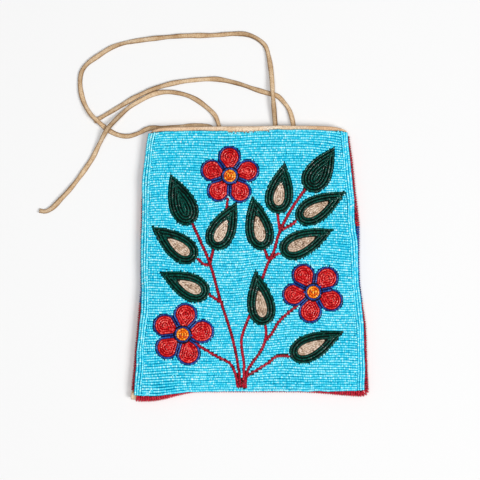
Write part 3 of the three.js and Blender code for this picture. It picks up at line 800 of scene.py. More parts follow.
class BeadBarrel:
    """The form of one bead: a short barrel whose hole is closed by its thread."""

    SIDES = 8
    RINGS = ((-1.0, 0.85), (0.0, 1.0), (1.0, 0.85))  # place along the bead, and share of its radius
    CORNERS = SIDES * len(RINGS)
    STEEP = 0.9  # rise of a hole that counts as upright
    # The bead's cell of the bake map: its bands above its two closed ends
    CELL_MARGIN = 0.06
    BANDS_FOOT = 0.32
    CAP_RADIUS = 0.11
    CAP_HEIGHT = 0.15
    CAP_MIDDLES = (0.25, 0.75)

    @classmethod
    def turns(cls, rolls: Array) -> Array:
        """Angle of each corner of a ring about the hole, for each bead."""
        return rolls[:, None] + ring_turns(cls.SIDES)

    @classmethod
    def vertices(cls, centres: Array, axes: Array, lengths: Array, diameters: Array, rolls: Array) -> Array:
        """Corner points of many beads at once.

        Args:
            centres: Middle of each bead.
            axes: Direction of each bead's hole.
            lengths: Length of each bead along its hole.
            diameters: Diameter of each bead.
            rolls: Turn of each bead about its hole.

        Returns:
            Corners, ring by ring and bead by bead.
        """
        upright = np.abs(axes[:, 2:]) > cls.STEEP
        helper = np.where(upright, np.array([1.0, 0.0, 0.0]), UPWARD)
        side = unit(np.cross(axes, helper))
        up = np.cross(side, axes)
        angle = cls.turns(rolls)
        spoke = np.cos(angle)[..., None] * side[:, None] + np.sin(angle)[..., None] * up[:, None]
        rings = [
            centres[:, None] + axes[:, None] * (along * lengths / 2)[:, None, None]
            + spoke * (share * diameters / 2)[:, None, None]
            for along, share in cls.RINGS
        ]
        return np.stack(rings, axis=1).reshape(-1, 3)

    @classmethod
    def cell(cls) -> Array:
        """The bake map of one bead within a unit cell.

        Returns:
            Places in the cell, corner by corner of the faces that a tube of these rings has.
        """
        heights = np.linspace(cls.BANDS_FOOT, 1.0 - cls.CELL_MARGIN, len(cls.RINGS))
        across = np.linspace(cls.CELL_MARGIN, 1.0 - cls.CELL_MARGIN, cls.SIDES + 1)
        places = []
        for low, high in zip(heights, heights[1:]):
            for left, right in zip(across, across[1:]):
                places += [(left, low), (right, low), (right, high), (left, high)]
        turn = ring_turns(cls.SIDES)
        rise = cls.CAP_HEIGHT + cls.CAP_RADIUS * np.sin(turn)
        for middle in cls.CAP_MIDDLES:
            places += list(zip(middle + cls.CAP_RADIUS * np.cos(turn), rise))
        return np.array(places)


@dataclass
class Beads:
    """Beads of one piece, gathered string by string and made into one mesh."""

    shape: BagShape
    seed: int
    length: float = 1.55
    diameter: float = 2.36
    tone: float = 0.82  # of a bead's crest, from deep to pale
    tone_spread: float = 0.12
    darkening: float = 0.6  # painted shade: how much darker a bead is where it meets the next row
    end_shade: float = 0.3  # painted shade where it meets the next bead
    polished: float = 0.12  # share of beads that have kept their fire polish
    centres: list[Array] = field(default_factory=list)
    axes: list[Array] = field(default_factory=list)
    tones: list[Array] = field(default_factory=list)

    SEAT = 1.18  # height of all threads above the hide, which lets the crests run level
    LOT_DIVISOR = 3  # strings differ in tone by a third of what single beads do
    SHIFT = 0.05  # how far a bead lies off its thread
    TILT = 0.05  # how far its hole leans, as a slope
    ROLL = 0.12  # how far it is turned about its hole
    LENGTHS = (0.96, 1.06)
    DIAMETERS = (0.96, 1.03)

    def __post_init__(self) -> None:
        """Seeds the piece's own random numbers."""
        self.random = random_numbers(self.seed)

    def count(self) -> int:
        """How many beads have been strung."""
        return sum(map(len, self.centres))

    def flat_middles(self) -> list[Array]:
        """Middles of the beads as seen from above, string by string."""
        return [centres[:, :2] for centres in self.centres]

    def lifted(self, path: Array) -> Array:
        """A flat path raised to the middle of beads that lie on the front."""
        z = self.shape.face(path[:, 0], path[:, 1]) + self.SEAT
        return np.column_stack([path, z])

    def add(self, centres: Array, axes: Array) -> None:
        """Adds beads at these places, one string's worth.

        Args:
            centres: Middle of each bead.
            axes: Direction of each bead's hole.
        """
        lot = self.random.normal(0.0, self.tone_spread / self.LOT_DIVISOR)
        tone = self.tone + lot + self.random.normal(0.0, self.tone_spread, len(centres))
        self.centres.append(centres)
        self.axes.append(axes)
        self.tones.append(tone)

    def lay(self, places: Array, holes: Array) -> None:
        """Adds beads at flat places on the front, with level holes in flat directions."""
        self.add(self.lifted(places), np.column_stack([holes, np.zeros(len(places))]))

    def string(self, path: Array, closed: bool = False) -> None:
        """Strings beads along a flat path on the front, which may run back to its start."""
        self.add(*spaced(self.lifted(path), self.length, closed))

    def fill(self, candidates: Array, along: Array, least: float, beside: Sequence[Array] = ()) -> None:
        """Sews single beads into the gaps that the strings leave.

        Args:
            candidates: Flat places that may take a bead.
            along: Direction of the added beads' holes, for all or for each place.
            least: Smallest distance of an added bead from any other.
            beside: Flat middles of the beads of other pieces.
        """
        known = np.concatenate([*beside, *self.flat_middles()])
        tree = KDTree(len(known))
        for i, (x, y) in enumerate(known):
            tree.insert((x, y, 0.0), i)
        tree.balance()
        added: list[int] = []
        for i, place in enumerate(candidates):
            if tree.find((place[0], place[1], 0.0))[2] < least:
                continue
            if added and np.linalg.norm(candidates[added] - place, axis=1).min() < least:
                continue
            added.append(i)
        if added:
            self.lay(candidates[added], np.broadcast_to(along, candidates.shape)[added])

    def thin_out(self, least: float) -> None:
        """Drops each bead that would sit in one strung before it.

        Args:
            least: Smallest distance between the middles of two beads.
        """
        centres, axes, tones = (np.concatenate(part) for part in (self.centres, self.axes, self.tones))
        kept: list[int] = []
        for i, centre in enumerate(centres):
            if not kept or np.linalg.norm(centres[kept] - centre, axis=1).min() >= least:
                kept.append(i)
        self.centres, self.axes, self.tones = [centres[kept]], [axes[kept]], [tones[kept]]

    @staticmethod
    def crisp_ends(made: bpy.types.Object) -> None:
        """Breaks the smooth shading where a bead's barrel turns into its cut ends.

        Args:
            made: Object that holds the beads.
        """
        pairs = np.empty(2 * len(made.data.edges), np.int32)
        made.data.edges.foreach_get("vertices", pairs)
        ring = pairs.reshape(-1, 2) % BeadBarrel.CORNERS // BeadBarrel.SIDES
        at_end = (ring[:, 0] == ring[:, 1]) & (ring[:, 0] != len(BeadBarrel.RINGS) // 2)
        made.data.attributes.new("sharp_edge", "BOOLEAN", "EDGE").data.foreach_set("value", at_end)

    @staticmethod
    def map_for_bake(made: bpy.types.Object, count: int) -> None:
        """Gives every bead a cell of its own in the bake map.

        Args:
            made: Object that holds the beads.
            count: How many beads it holds.
        """
        columns = math.ceil(math.sqrt(count))
        cells = np.stack([np.arange(count) % columns, np.arange(count) // columns], axis=1)
        bake = (BeadBarrel.cell()[None] + cells[:, None]) / columns
        made.data.uv_layers.new(name=BAKE_MAP).data.foreach_set("uv", bake.astype(np.float32).ravel())

    def tint(self, made: bpy.types.Object, axes: Array, rolls: Array) -> None:
        """Stores each bead's tone, with painted shade towards its neighbours, and whether it has kept its
        polish.

        Args:
            made: Object that holds the beads.
            axes: Direction of each bead's hole.
            rolls: Turn of each bead about its hole.
        """
        # Painted shade: a bead's flanks, where it meets the next row, are made darker.
        flank = np.abs(np.cos(BeadBarrel.turns(rolls)))
        darkening = self.darkening * (1 - np.abs(axes[:, 2:])) * flank**2
        # Painted shade: the ends of a bead, where it meets the next one, are made darker.
        ends = np.repeat([self.end_shade * abs(along) for along, _ in BeadBarrel.RINGS], BeadBarrel.SIDES)
        tone = np.concatenate(self.tones)[:, None] - np.tile(darkening, (1, len(BeadBarrel.RINGS))) - ends
        set_attribute(made, TONE, np.clip(tone, 0.0, 1.0).ravel())
        fresh = (self.random.random(len(axes)) < self.polished).astype(float)
        set_attribute(made, GLINT, np.repeat(fresh, BeadBarrel.CORNERS))

    def mesh(self, name: str) -> bpy.types.Object:
        """Makes the strung beads into one object.

        Args:
            name: Name of the object.

        Returns:
            The object, linked to the scene.
        """
        count = self.count()
        centres, axes = np.concatenate(self.centres), np.concatenate(self.axes)
        centres = centres + self.random.normal(0.0, self.SHIFT, centres.shape)
        axes = unit(axes + self.random.normal(0.0, self.TILT, axes.shape))
        lengths = self.length * self.random.uniform(*self.LENGTHS, count)
        diameters = self.diameter * self.random.uniform(*self.DIAMETERS, count)
        rolls = self.random.normal(0.0, self.ROLL, count)
        corners = self.shape.to_row(BeadBarrel.vertices(centres, axes, lengths, diameters, rolls))
        faces, sizes = tube_faces(len(BeadBarrel.RINGS), BeadBarrel.SIDES)
        loops = (faces[None] + (np.arange(count) * BeadBarrel.CORNERS)[:, None]).ravel()
        made = mesh_object(name, corners, loops, np.tile(sizes, count))
        self.crisp_ends(made)
        self.map_for_bake(made, count)
        self.tint(made, axes, rolls)
        return made


class Motif:
    """The flower and leaf drawing, in shares of the bag."""

    # Point and round end of each leaf
    PLAIN_LEAVES = {
        "01": ((-0.757, 0.654), (-0.547, 0.287)),
        "07": ((0.824, 0.85), (0.54, 0.532)),
    }
    CENTRED_LEAVES = {
        "02": ((-0.905, 0.276), (-0.488, 0.035)),
        "03": ((-0.812, -0.054), (-0.369, -0.226)),
        "04": ((-0.126, 0.454), (-0.343, 0.111)),
        "05": ((0.021, 0.497), (0.121, 0.105)),
        "06": ((0.331, 0.737), (0.243, 0.367)),
        "08": ((0.903, 0.528), (0.429, 0.321)),
        "09": ((0.769, 0.257), (0.274, 0.083)),
        "10": ((0.05, -0.043), (0.124, -0.442)),
        "11": ((0.816, -0.483), (0.347, -0.669)),
    }
    # Middle, direction of each petal in degrees, distance of its wide end from the middle, its width
    FLOWERS = {
        "1": ((-0.192, 0.641), (91, 16, -57, -128, 163), 24.4, 15.8),
        "2": ((-0.588, -0.506), (82, 9, -73, -140, 153), 26.0, 17.0),
        "3": ((0.563, -0.2), (120, 46, -24, -99, -173), 25.6, 16.4),
    }
    # Points of each line of a stem
    STEMS = {
        "stem_foot": (
            (
                (-0.08, -0.892), (-0.099, -0.749), (-0.156, -0.524), (-0.275, -0.228), (-0.36, 0.003),
                (-0.53, 0.296),
            ),
            ((-0.368, -0.008), (-0.42, 0.003), (-0.488, 0.056)),
            ((-0.357, 0.017), (-0.33, 0.121)),
            ((-0.239, -0.286), (-0.302, -0.25), (-0.384, -0.207)),
            ((-0.101, -0.892), (-0.128, -0.784), (-0.172, -0.716), (-0.294, -0.662), (-0.479, -0.569)),
            ((-0.058, -0.892), (-0.052, -0.729), (-0.074, -0.539), (-0.005, -0.372)),
            ((-0.037, -0.892), (-0.025, -0.778), (0.112, -0.596), (0.142, -0.489), (0.127, -0.421)),
            ((0.121, -0.561), (0.18, -0.51), (0.263, -0.405), (0.427, -0.29)),
            ((-0.025, -0.806), (0.168, -0.705), (0.218, -0.669), (0.377, -0.662)),
        ),
        "stem_spray": (
            ((0.099, -0.129), (0.168, 0.021), (0.21, 0.083), (0.275, 0.242), (0.401, 0.421), (0.531, 0.554)),
            ((0.273, 0.237), (0.255, 0.375)),
            ((0.281, 0.242), (0.372, 0.284), (0.456, 0.332)),
            ((0.167, 0.02), (0.13, 0.121)),
            ((0.17, 0.021), (0.232, 0.068), (0.293, 0.09)),
        ),
        "stem_top": (((-0.208, 0.486), (-0.219, 0.388)),),
    }
    LEAF_WIDTH = 24.6
    LEAF_SHARPNESS = 1.0
    LEAF_TIP_INSET = 2.2
    PETAL_START = 4.5  # the point, which the ring round the centre cuts off
    PETAL_SHARPNESS = 0.45
    OUTLINE_WIDTH = 2.1
    FLOWER_WEB = 13.5
    DISC_STATIONS = 48
    STEM_WIDTH = 2.1
    STEM_STEP = 1.0

    def __init__(self, shape: BagShape) -> None:
        """Lays the drawing out on the bag.

        Args:
            shape: The bag's outline.
        """
        self.shape = shape
        axes = {**self.PLAIN_LEAVES, **self.CENTRED_LEAVES}
        self.leaves = {number: self.leaf(*axis) for number, axis in axes.items()}
        self.flowers = {
            number: (shape.place(middle), self.petals(shape.place(middle), *form))
            for number, (middle, *form) in self.FLOWERS.items()
        }
        self.stems = {
            name: [smooth_path([shape.place(point) for point in line], self.STEM_STEP) for line in lines]
            for name, lines in self.STEMS.items()
        }

    def leaf(self, tip: Sequence[float], end: Sequence[float]) -> Teardrop:
        """One leaf from its point and its round end."""
        ends = self.shape.place(tip), self.shape.place(end)
        return Teardrop(*ends, self.LEAF_WIDTH, self.LEAF_SHARPNESS, self.LEAF_TIP_INSET)

    def petals(self, middle: Array, turns: Sequence[float], reach: float, breadth: float) -> list[Petal]:
        """The petals of one flower.

        Args:
            middle: Middle of the flower.
            turns: Direction of each petal in degrees.
            reach: Distance of a petal's wide end from the middle.
            breadth: Width of a petal.

        Returns:
            The petals, narrow end inwards.
        """
        angles = [math.radians(turn) for turn in turns]
        outward = [np.array([math.cos(angle), math.sin(angle)]) for angle in angles]
        petals = []
        for before, way, after in zip(outward[-1:] + outward[:-1], outward, outward[1:] + outward[:1]):
            ends = middle + self.PETAL_START * way, middle + reach * way
            gores = unit(before + way), unit(way + after)
            petals.append(Petal(*ends, breadth, self.PETAL_SHARPNESS, middle=middle, gores=gores))
        return petals

    def disc(self, middle: Array, radius: float) -> Array:
        """A round outline about a point."""
        turn = np.linspace(0, FULL_TURN, self.DISC_STATIONS, endpoint=False)
        return middle + radius * np.stack([np.cos(turn), np.sin(turn)], axis=1)

    def stem_outline(self, line: Array, letting_out: float) -> Array:
        """The outline of a stem.

        Args:
            line: Centre line of the stem.
            letting_out: How much further than the stem's own flanks the outline lies.

        Returns:
            The outline's points.
        """
        along = unit(np.gradient(line, axis=0))
        across = left_of(along) * (self.STEM_WIDTH / 2 + letting_out)
        return np.vstack([line + across, (line - across)[::-1]])

    def leaf_and_flower_outlines(self, letting_out: float) -> list[Array]:
        """Outlines of all leaves and flowers.

        Args:
            letting_out: How much further than their own edges the outlines lie.

        Returns:
            The points of each outline.
        """
        outlines = [leaf.outline(-letting_out) for leaf in self.leaves.values()]
        for middle, petals in self.flowers.values():
            outlines.append(self.disc(middle, self.FLOWER_WEB + letting_out))
            outlines += [petal.outline(-self.OUTLINE_WIDTH - letting_out) for petal in petals]
        return outlines

    def outlines(self, letting_out: float) -> list[Array]:
        """Outlines of all that the drawing covers, let out by a distance."""
        stems = [self.stem_outline(line, letting_out) for lines in self.stems.values() for line in lines]
        return self.leaf_and_flower_outlines(letting_out) + stems


class Dressing:
    """What every sub-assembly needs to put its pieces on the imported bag."""

    def __init__(self) -> None:
        """Lays out the shape and the drawing, and makes the materials."""
        self.shape = BagShape()
        self.motif = Motif(self.shape)
        self.materials = {slot: finish.material() for slot, finish in FINISHES.items()}
        self.sewn: list[Array] = []  # flat middles of the beads on the front

    def dress(self, piece: bpy.types.Object, slot: Slot, *nodes: str) -> bpy.types.Object:
        """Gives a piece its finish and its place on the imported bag.

        Args:
            piece: The piece's object.
            slot: Slot of the record that its finish comes from.
            nodes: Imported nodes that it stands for.

        Returns:
            The same piece.
        """
        piece.data.materials.append(self.materials[slot])
        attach(piece, ROOT)
        if nodes:
            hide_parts(*nodes)
        LOG.info("%s: %d faces in %s", piece.name, len(piece.data.polygons), slot.value)
        return piece

    def strung(self, beads: Beads, name: str, slot: Slot, *nodes: str) -> None:
        """Makes beads into a dressed piece.

        Args:
            beads: Beads that are strung.
            name: Name of the piece.
            slot: Slot of the record that its finish comes from.
            nodes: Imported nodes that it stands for.
        """
        LOG.info("%s: %d beads", name, beads.count())
        self.sewn += beads.flat_middles()
        self.dress(beads.mesh(name), slot, *nodes)


@dataclass
class GroundBeads:
    """Light-blue ground: sewn rows across the front between the border rows, open where the drawing lies."""

    dressing: Dressing
    row_pitch: float = 2.15
    row_step: float = 0.2  # between the points that a row's course is worked out at
    bead: float = 2.76
    # painted highlight: the ground's crests lie close to the light blue's near-white pale
    tone: float = 0.88
    # painted shade between the rows of the ground
    darkening: float = 1.2
    border_rows: int = 3
    border_step: float = 0.5
    border_margin: float = 0.2
    row_half: float = 0.6  # how far above and below its middle a row keeps clear of the drawing
    row_margin: float = 0.775  # from the middle of a row to the foot's edge or the hem
    clearance: float = 0.05  # between a row and the drawing
    least_run: float = 1.0  # shortest gap in the drawing that still gets a bead
    follow: float = 40.0  # height over which rows turn from the run of the foot or the rim to level
    settle: float = 14.0  # height over which they begin to waver
    slices: int = 4  # pieces that the ground is made of, from the foot up
    fill_step: float = 0.4
    fill_least: float = 1.4
    fill_bead: float = 2.05
    fill_length: float = 1.4
    fill_margin: float = 0.75  # from a single bead to the foot's edge or the hem
    fill_side_margin: float = 1.0
    fill_clearance: float = 0.1

    # How rows waver: height and length of a wave across, then how its phase goes from row to row.
    LONG_WAVE, LONG_SWING = (1.1, 19.0), (0.8, 33.0)
    SHORT_WAVE, SHORT_SHIFT = (0.5, 8.0), 21.0
    OWN_WAVES = ((0.06, 2.6), (0.08, 5.1))  # of a single row
    STARTS_PER_MM = 10  # a row's height picks the random start of its own phases
    PHASE_CYCLE = 9973  # so many starts there are
    BORDER_WAVE = (0.22, 9.0)

    def border_width(self, sign: int, y: Array) -> Array:
        """Width from the outline to the inner limit of the border rows at a height of one side."""
        return self.dressing.shape.side_show(sign, y) + self.border_rows * self.row_pitch

    def row(self, base: float, x: Array) -> Array:
        """The course of one sewn row.

        Args:
            base: Height of the row in the middle of the bag.
            x: Distances across.

        Returns:
            Heights of the row.
        """
        shape = self.dressing.shape
        foot, rim = float(shape.bottom(0.0)), float(shape.rim(0.0))
        above, below = max(base - foot, 0.0), max(rim - base, 0.0)
        free = 1 - math.exp(-above / self.settle) - math.exp(-below / self.settle)
        swing, cycle = self.LONG_SWING
        long_wave = (*self.LONG_WAVE, swing * math.sin(base / cycle))
        drift = free * waves(x, long_wave, (*self.SHORT_WAVE, -base / self.SHORT_SHIFT))
        start = round(self.STARTS_PER_MM * base) % self.PHASE_CYCLE
        phases = random_numbers(start).uniform(0, FULL_TURN, len(self.OWN_WAVES))
        own = waves(x, *((*wave, phase) for wave, phase in zip(self.OWN_WAVES, phases)))
        low = math.exp(-above / self.follow) * (shape.bottom(x) - foot)
        high = math.exp(-below / self.follow) * (shape.rim(x) - rim)
        return base + drift + own + low + high

    def runs(self, path: Array) -> list[Array]:
        """The stretches of a row that neither the drawing nor the limits of the field interrupt.

        Args:
            path: Dense points of the row.

        Returns:
            The points of each stretch.
        """
        free = self.in_field(path, self.row_margin)
        for outline in self.dressing.motif.outlines(self.clearance):
            for rise in (-self.row_half, 0.0, self.row_half):
                free &= ~inside(outline, path + np.array([0.0, rise]))
        edges = np.flatnonzero(np.diff(np.concatenate([[0], free.astype(int), [0]])))
        stretches = [path[start:stop] for start, stop in zip(edges[::2], edges[1::2])]
        return [stretch for stretch in stretches if stretch[-1, 0] - stretch[0, 0] >= self.least_run]

    def in_field(self, places: Array, margin: float) -> Array:
        """Tells which places lie between the foot's edge and the hem.

        Args:
            places: Flat places.
            margin: Distance that they keep from both.

        Returns:
            One truth value for each place.
        """
        x, y = places.T
        shape = self.dressing.shape
        return (y > shape.bottom(x) + margin) & (y < shape.hem_edge(x) - margin)

    def new_beads(self, seed: int) -> Beads:
        """A piece of the ground with no bead strung yet."""
        return Beads(self.dressing.shape, seed, diameter=self.bead, tone=self.tone, darkening=self.darkening)

    def build_ground(self) -> None:
        """Strings the level rows, slice by slice."""
        shape = self.dressing.shape
        start = float(shape.bottom(0.0)) + self.row_pitch / 2
        bases = np.arange(start, shape.half_height + self.row_pitch, self.row_pitch)
        x = np.arange(-shape.foot_width / 2, shape.foot_width / 2, self.row_step)
        for i, share in enumerate(np.array_split(bases, self.slices)):
            beads = self.new_beads(Seed.GROUND + i)
            for base in share:
                y = self.row(base, x)
                left = -(shape.side(-1, y) - self.border_width(-1, y))
                right = shape.side(1, y) - self.border_width(1, y)
                for stretch in self.runs(np.column_stack([x, y])[(x > left) & (x < right)]):
                    beads.string(stretch)
            nodes = ("bead_ground", "bead_ground_inner") if i == 0 else ()
            self.dressing.strung(beads, f"ground_beads_{i + 1}", Slot.LIGHT_BLUE, *nodes)

    def build_borders(self) -> None:
        """Strings the upright border rows along both sides."""
        shape = self.dressing.shape
        y = np.arange(-shape.half_height, shape.half_height, self.border_step)
        for number, (sign, name) in enumerate(((-1, "border_left"), (1, "border_right"))):
            beads = self.new_beads(Seed.BORDER + number)
            for row in range(self.border_rows):
                inset = shape.side_show(sign, y) + (row + 0.5) * self.row_pitch
                x = sign * (shape.side(sign, y) - inset + waves(y, (*self.BORDER_WAVE, row)))
                path = np.column_stack([x, y])
                beads.string(path[self.in_field(path, self.border_margin)])
            self.dressing.strung(beads, f"{name}_beads", Slot.LIGHT_BLUE, name)

    def build_fill(self) -> None:
        """Sews single beads where the rows stop short of the drawing, the hem or the foot."""
        shape = self.dressing.shape
        reach = np.array([shape.foot_width / 2, shape.half_height])
        places = grid(-reach, reach, self.fill_step)
        x, y = places.T
        within = np.abs(x) < shape.side(x, y) - shape.side_show(x, y) - self.fill_side_margin
        places = places[within & self.in_field(places, self.fill_margin)]
        for outline in self.dressing.motif.leaf_and_flower_outlines(self.fill_clearance):
            places = places[~inside(outline, places)]
        beads = Beads(shape, Seed.FILL, self.fill_length, self.fill_bead)
        beads.fill(places, (1.0, 0.0), self.fill_least, self.dressing.sewn)
        self.dressing.strung(beads, "ground_fill_beads", Slot.LIGHT_BLUE)


@dataclass
class LeafBeads:
    """Leaves sewn in contour rows, most of them green round a tan centre."""

    dressing: Dressing
    green_rows: int = 3
    border: float = 7.6
    green_bead: float = 2.5
    green_tone_spread: float = 0.1
    # painted shade between the green rows
    green_shade: float = 0.7
    tip_stitch: tuple[float, float] = (2.4, 0.8)  # both ends of the bead in the point, from the tip in
    tip_rows: int = 2  # shorter rows that only the point of the leaf has
    green_least: float = 1.1
    green_fill_inset: float = 0.55
    green_fill_least: float = 1.45
    tan_clearance: float = 0.7
    tan_pitch: float = 1.6  # finer beads than the green
    tan_length: float = 1.25
    tan_overlap: float = 0.3
    tan_tone_spread: float = 0.26
    # painted shade between the tan rows
    tan_shade: float = 0.45
    tan_least: float = 0.95
    tan_fill_inset: float = 0.6
    tan_fill_least: float = 1.1

    def build_green(self, number: str, leaf: Teardrop, core: Teardrop | None) -> None:
        """Builds the green of one leaf.

        Args:
            number: Which leaf.
            leaf: Its outline.
            core: Outline of its tan centre, or none.
        """
        pitch = self.border / self.green_rows
        seed = Seed.LEAF + int(number)
        look = {"tone_spread": self.green_tone_spread, "darkening": self.green_shade}
        green = Beads(self.dressing.shape, seed, diameter=self.green_bead, **look)
        way = unit(leaf.tip - leaf.end)
        green.string(np.array([leaf.tip - inset * way for inset in self.tip_stitch]))
        for row in leaf.rows(pitch / 2, pitch, self.border if core else leaf.width / 2):
            green.string(row, closed=True)
        places = leaf.places(self.green_fill_inset)
        if core:
            for row in leaf.rows(self.border + pitch / 2, pitch, self.border + self.tip_rows * pitch):
                row = np.roll(row, len(row) // 2, axis=0)
                row = row[~inside(core.outline(-pitch / 2), row)]
                if len(row) > 2:
                    green.string(row)
            places = places[~inside(core.outline(-self.tan_clearance), places)]
        green.thin_out(self.green_least)
        green.fill(places, way, self.green_fill_least)
        self.dressing.strung(green, f"leaf_{number}_beads", Slot.GREEN, f"leaf_{number}")

    def build_centre(self, number: str, leaf: Teardrop, core: Teardrop) -> None:
        """Builds the tan centre of one leaf.

        Args:
            number: Which leaf.
            leaf: Its outline.
            core: Outline of the centre.
        """
        seed = Seed.LEAF_CENTRE + int(number)
        look = {"tone_spread": self.tan_tone_spread, "darkening": self.tan_shade}
        tan = Beads(self.dressing.shape, seed, self.tan_length, self.tan_pitch + self.tan_overlap, **look)
        for row in core.rows(self.tan_pitch / 2, self.tan_pitch, core.width / 2):
            tan.string(row, closed=True)
        tan.thin_out(self.tan_least)
        places = leaf.places(0)
        places = places[inside(core.outline(self.tan_fill_inset), places)]
        tan.fill(places, unit(leaf.tip - leaf.end), self.tan_fill_least)
        self.dressing.strung(tan, f"leaf_centre_{number}_beads", Slot.TAN, f"leaf_centre_{number}")

    def build(self) -> None:
        """Builds each leaf and each tan centre."""
        for number, leaf in self.dressing.motif.leaves.items():
            core = None if number in Motif.PLAIN_LEAVES else leaf.core(self.border)
            self.build_green(number, leaf, core)
            if core:
                self.build_centre(number, leaf, core)


@dataclass
class FlowerBeads:
    """Flowers of five red petals, each with a cobalt row round it, about an orange centre."""

    dressing: Dressing
    petal_pitch: float = 2.0
    ring_radius: float = 6.4
    centre_rings: tuple[float, ...] = (4.5, 2.45, 0.5)
    # painted shade between the cobalt rows
    outline_shade: float = 0.8
    ring_clearance: float = 0.9  # pitches between the ring and the rows round the petals
    petal_clearance: float = 0.8  # of a petal that the row round the next one stops at
    outline_least: float = 1.3
    outline_fill_inset: float = 0.5
    outline_fill_least: float = 1.55
    red_tone_spread: float = 0.16
    # painted shade between the red rows
    red_shade: float = 0.7
    red_least: float = 1.1
    red_fill_inset: float = 0.6
    red_fill_least: float = 1.2
    orange_tone_spread: float = 0.28

    def beyond(self, places: Array, middle: Array, pitches: float) -> Array:
        """Tells which places lie further than some pitches outside the ring round a flower's middle."""
        return np.linalg.norm(places - middle, axis=1) > self.ring_radius + self.petal_pitch * pitches

    def build_petals(self, number: str) -> Beads:
        """Builds the red petals of one flower.

        Args:
            number: Which flower.

        Returns:
            Their beads.
        """
        middle, petals = self.dressing.motif.flowers[number]
        look = {"tone_spread": self.red_tone_spread, "darkening": self.red_shade}
        red = Beads(self.dressing.shape, Seed.PETALS + int(number), **look)
        for petal in petals:
            for row in petal.rows(self.petal_pitch / 2, self.petal_pitch, petal.width / 2):
                outside = self.beyond(row, middle, 1)
                red.string(row[outside], closed=bool(outside.all()))
        red.thin_out(self.red_least)
        for petal in petals:
            places = petal.places(self.red_fill_inset)
            places = places[self.beyond(places, middle, 1)]
            red.fill(places, unit(petal.end - petal.tip), self.red_fill_least)
        nodes = [f"petal_{number}_{i + 1}" for i in range(len(petals))]
        self.dressing.strung(red, f"petals_{number}_beads", Slot.RED, *nodes)
        return red

    def build_centre(self, number: str) -> Beads:
        """Builds the orange centre of one flower.

        Args:
            number: Which flower.

        Returns:
            Its beads.
        """
        motif = self.dressing.motif
        middle, _ = motif.flowers[number]
        seed = Seed.FLOWER_CENTRE + int(number)
        orange = Beads(self.dressing.shape, seed, tone_spread=self.orange_tone_spread)
        for radius in self.centre_rings:
            orange.string(motif.disc(middle, radius), closed=True)
        self.dressing.strung(orange, f"flower_centre_{number}_beads", Slot.ORANGE, f"flower_centre_{number}")
        return orange

    def build_outline(self, number: str, within: Sequence[Array]) -> None:
        """Strings the cobalt ring round the centre and the row round each petal, and fills the gores.

        Args:
            number: Which flower.
            within: Flat middles of the beads of its petals and centre.
        """
        motif = self.dressing.motif
        middle, petals = motif.flowers[number]
        seed = Seed.FLOWER_OUTLINE + int(number)
        beads = Beads(self.dressing.shape, seed, darkening=self.outline_shade)
        beads.string(motif.disc(middle, self.ring_radius), closed=True)
        for petal in petals:
            path = petal.contour(-motif.OUTLINE_WIDTH / 2)
            beside = self.beyond(path, middle, self.ring_clearance)
            for other in petals:
                if other is not petal:
                    beside &= ~inside(other.contour(-self.petal_clearance), path)
            beads.string(path[beside])
        beads.thin_out(self.outline_least)
        _, _, petal_reach, _ = motif.FLOWERS[number]
        reach = petal_reach + motif.OUTLINE_WIDTH
        places = grid(middle - reach, middle + reach, Teardrop.FILL_STEP)
        covered = inside(motif.disc(middle, motif.FLOWER_WEB), places)
        for petal in petals:
            covered |= inside(petal.outline(-motif.OUTLINE_WIDTH + self.outline_fill_inset), places)
        places = places[covered]
        beads.fill(places, unit(places - middle), self.outline_fill_least, within)
        name = f"flower_outline_{number}"
        self.dressing.strung(beads, f"{name}_beads", Slot.COBALT, name)

    def build(self) -> None:
        """Builds each flower's petals, centre and outline."""
        for number in self.dressing.motif.flowers:
            red, orange = self.build_petals(number), self.build_centre(number)
            self.build_outline(number, red.flat_middles() + orange.flat_middles())


@dataclass
class StemBeads:
    """Stems sewn in slanting stitches of two beads."""

    dressing: Dressing
    stitch: float = 1.6  # from one stitch to the next along the stem
    bead: float = 1.25  # length of a bead along its thread
    diameter: float = 1.8
    tone: float = 0.88
    tone_spread: float = 0.2
    slant: float = 52.0  # degrees between a stitch and the stem
    clearance: float = 0.1
    least: float = 1.05

    def build(self) -> None:
        """Builds the three stems, broken off where leaves and flowers lie."""
        motif = self.dressing.motif
        covered = motif.leaf_and_flower_outlines(self.clearance)
        cos, sin = math.cos(math.radians(self.slant)), math.sin(math.radians(self.slant))
        look = {"tone": self.tone, "tone_spread": self.tone_spread}
        for number, (name, lines) in enumerate(motif.stems.items()):
            beads = Beads(self.dressing.shape, Seed.STEM + number, self.bead, self.diameter, **look)
            for line in lines:
                places, along = spaced(line, self.stitch)
                x, y = along.T
                thread = np.stack([x * cos - y * sin, x * sin + y * cos], axis=1)
                half = thread * self.bead / 2
                flat = np.stack([places - half, places + half], axis=1).reshape(-1, 2)
                bare = np.ones(len(flat), bool)
                for outline in covered:
                    bare &= ~inside(outline, flat)
                beads.lay(flat[bare], np.repeat(thread, 2, axis=0)[bare])
            beads.thin_out(self.least)
            self.dressing.strung(beads, f"{name}_beads", Slot.CRIMSON, name)


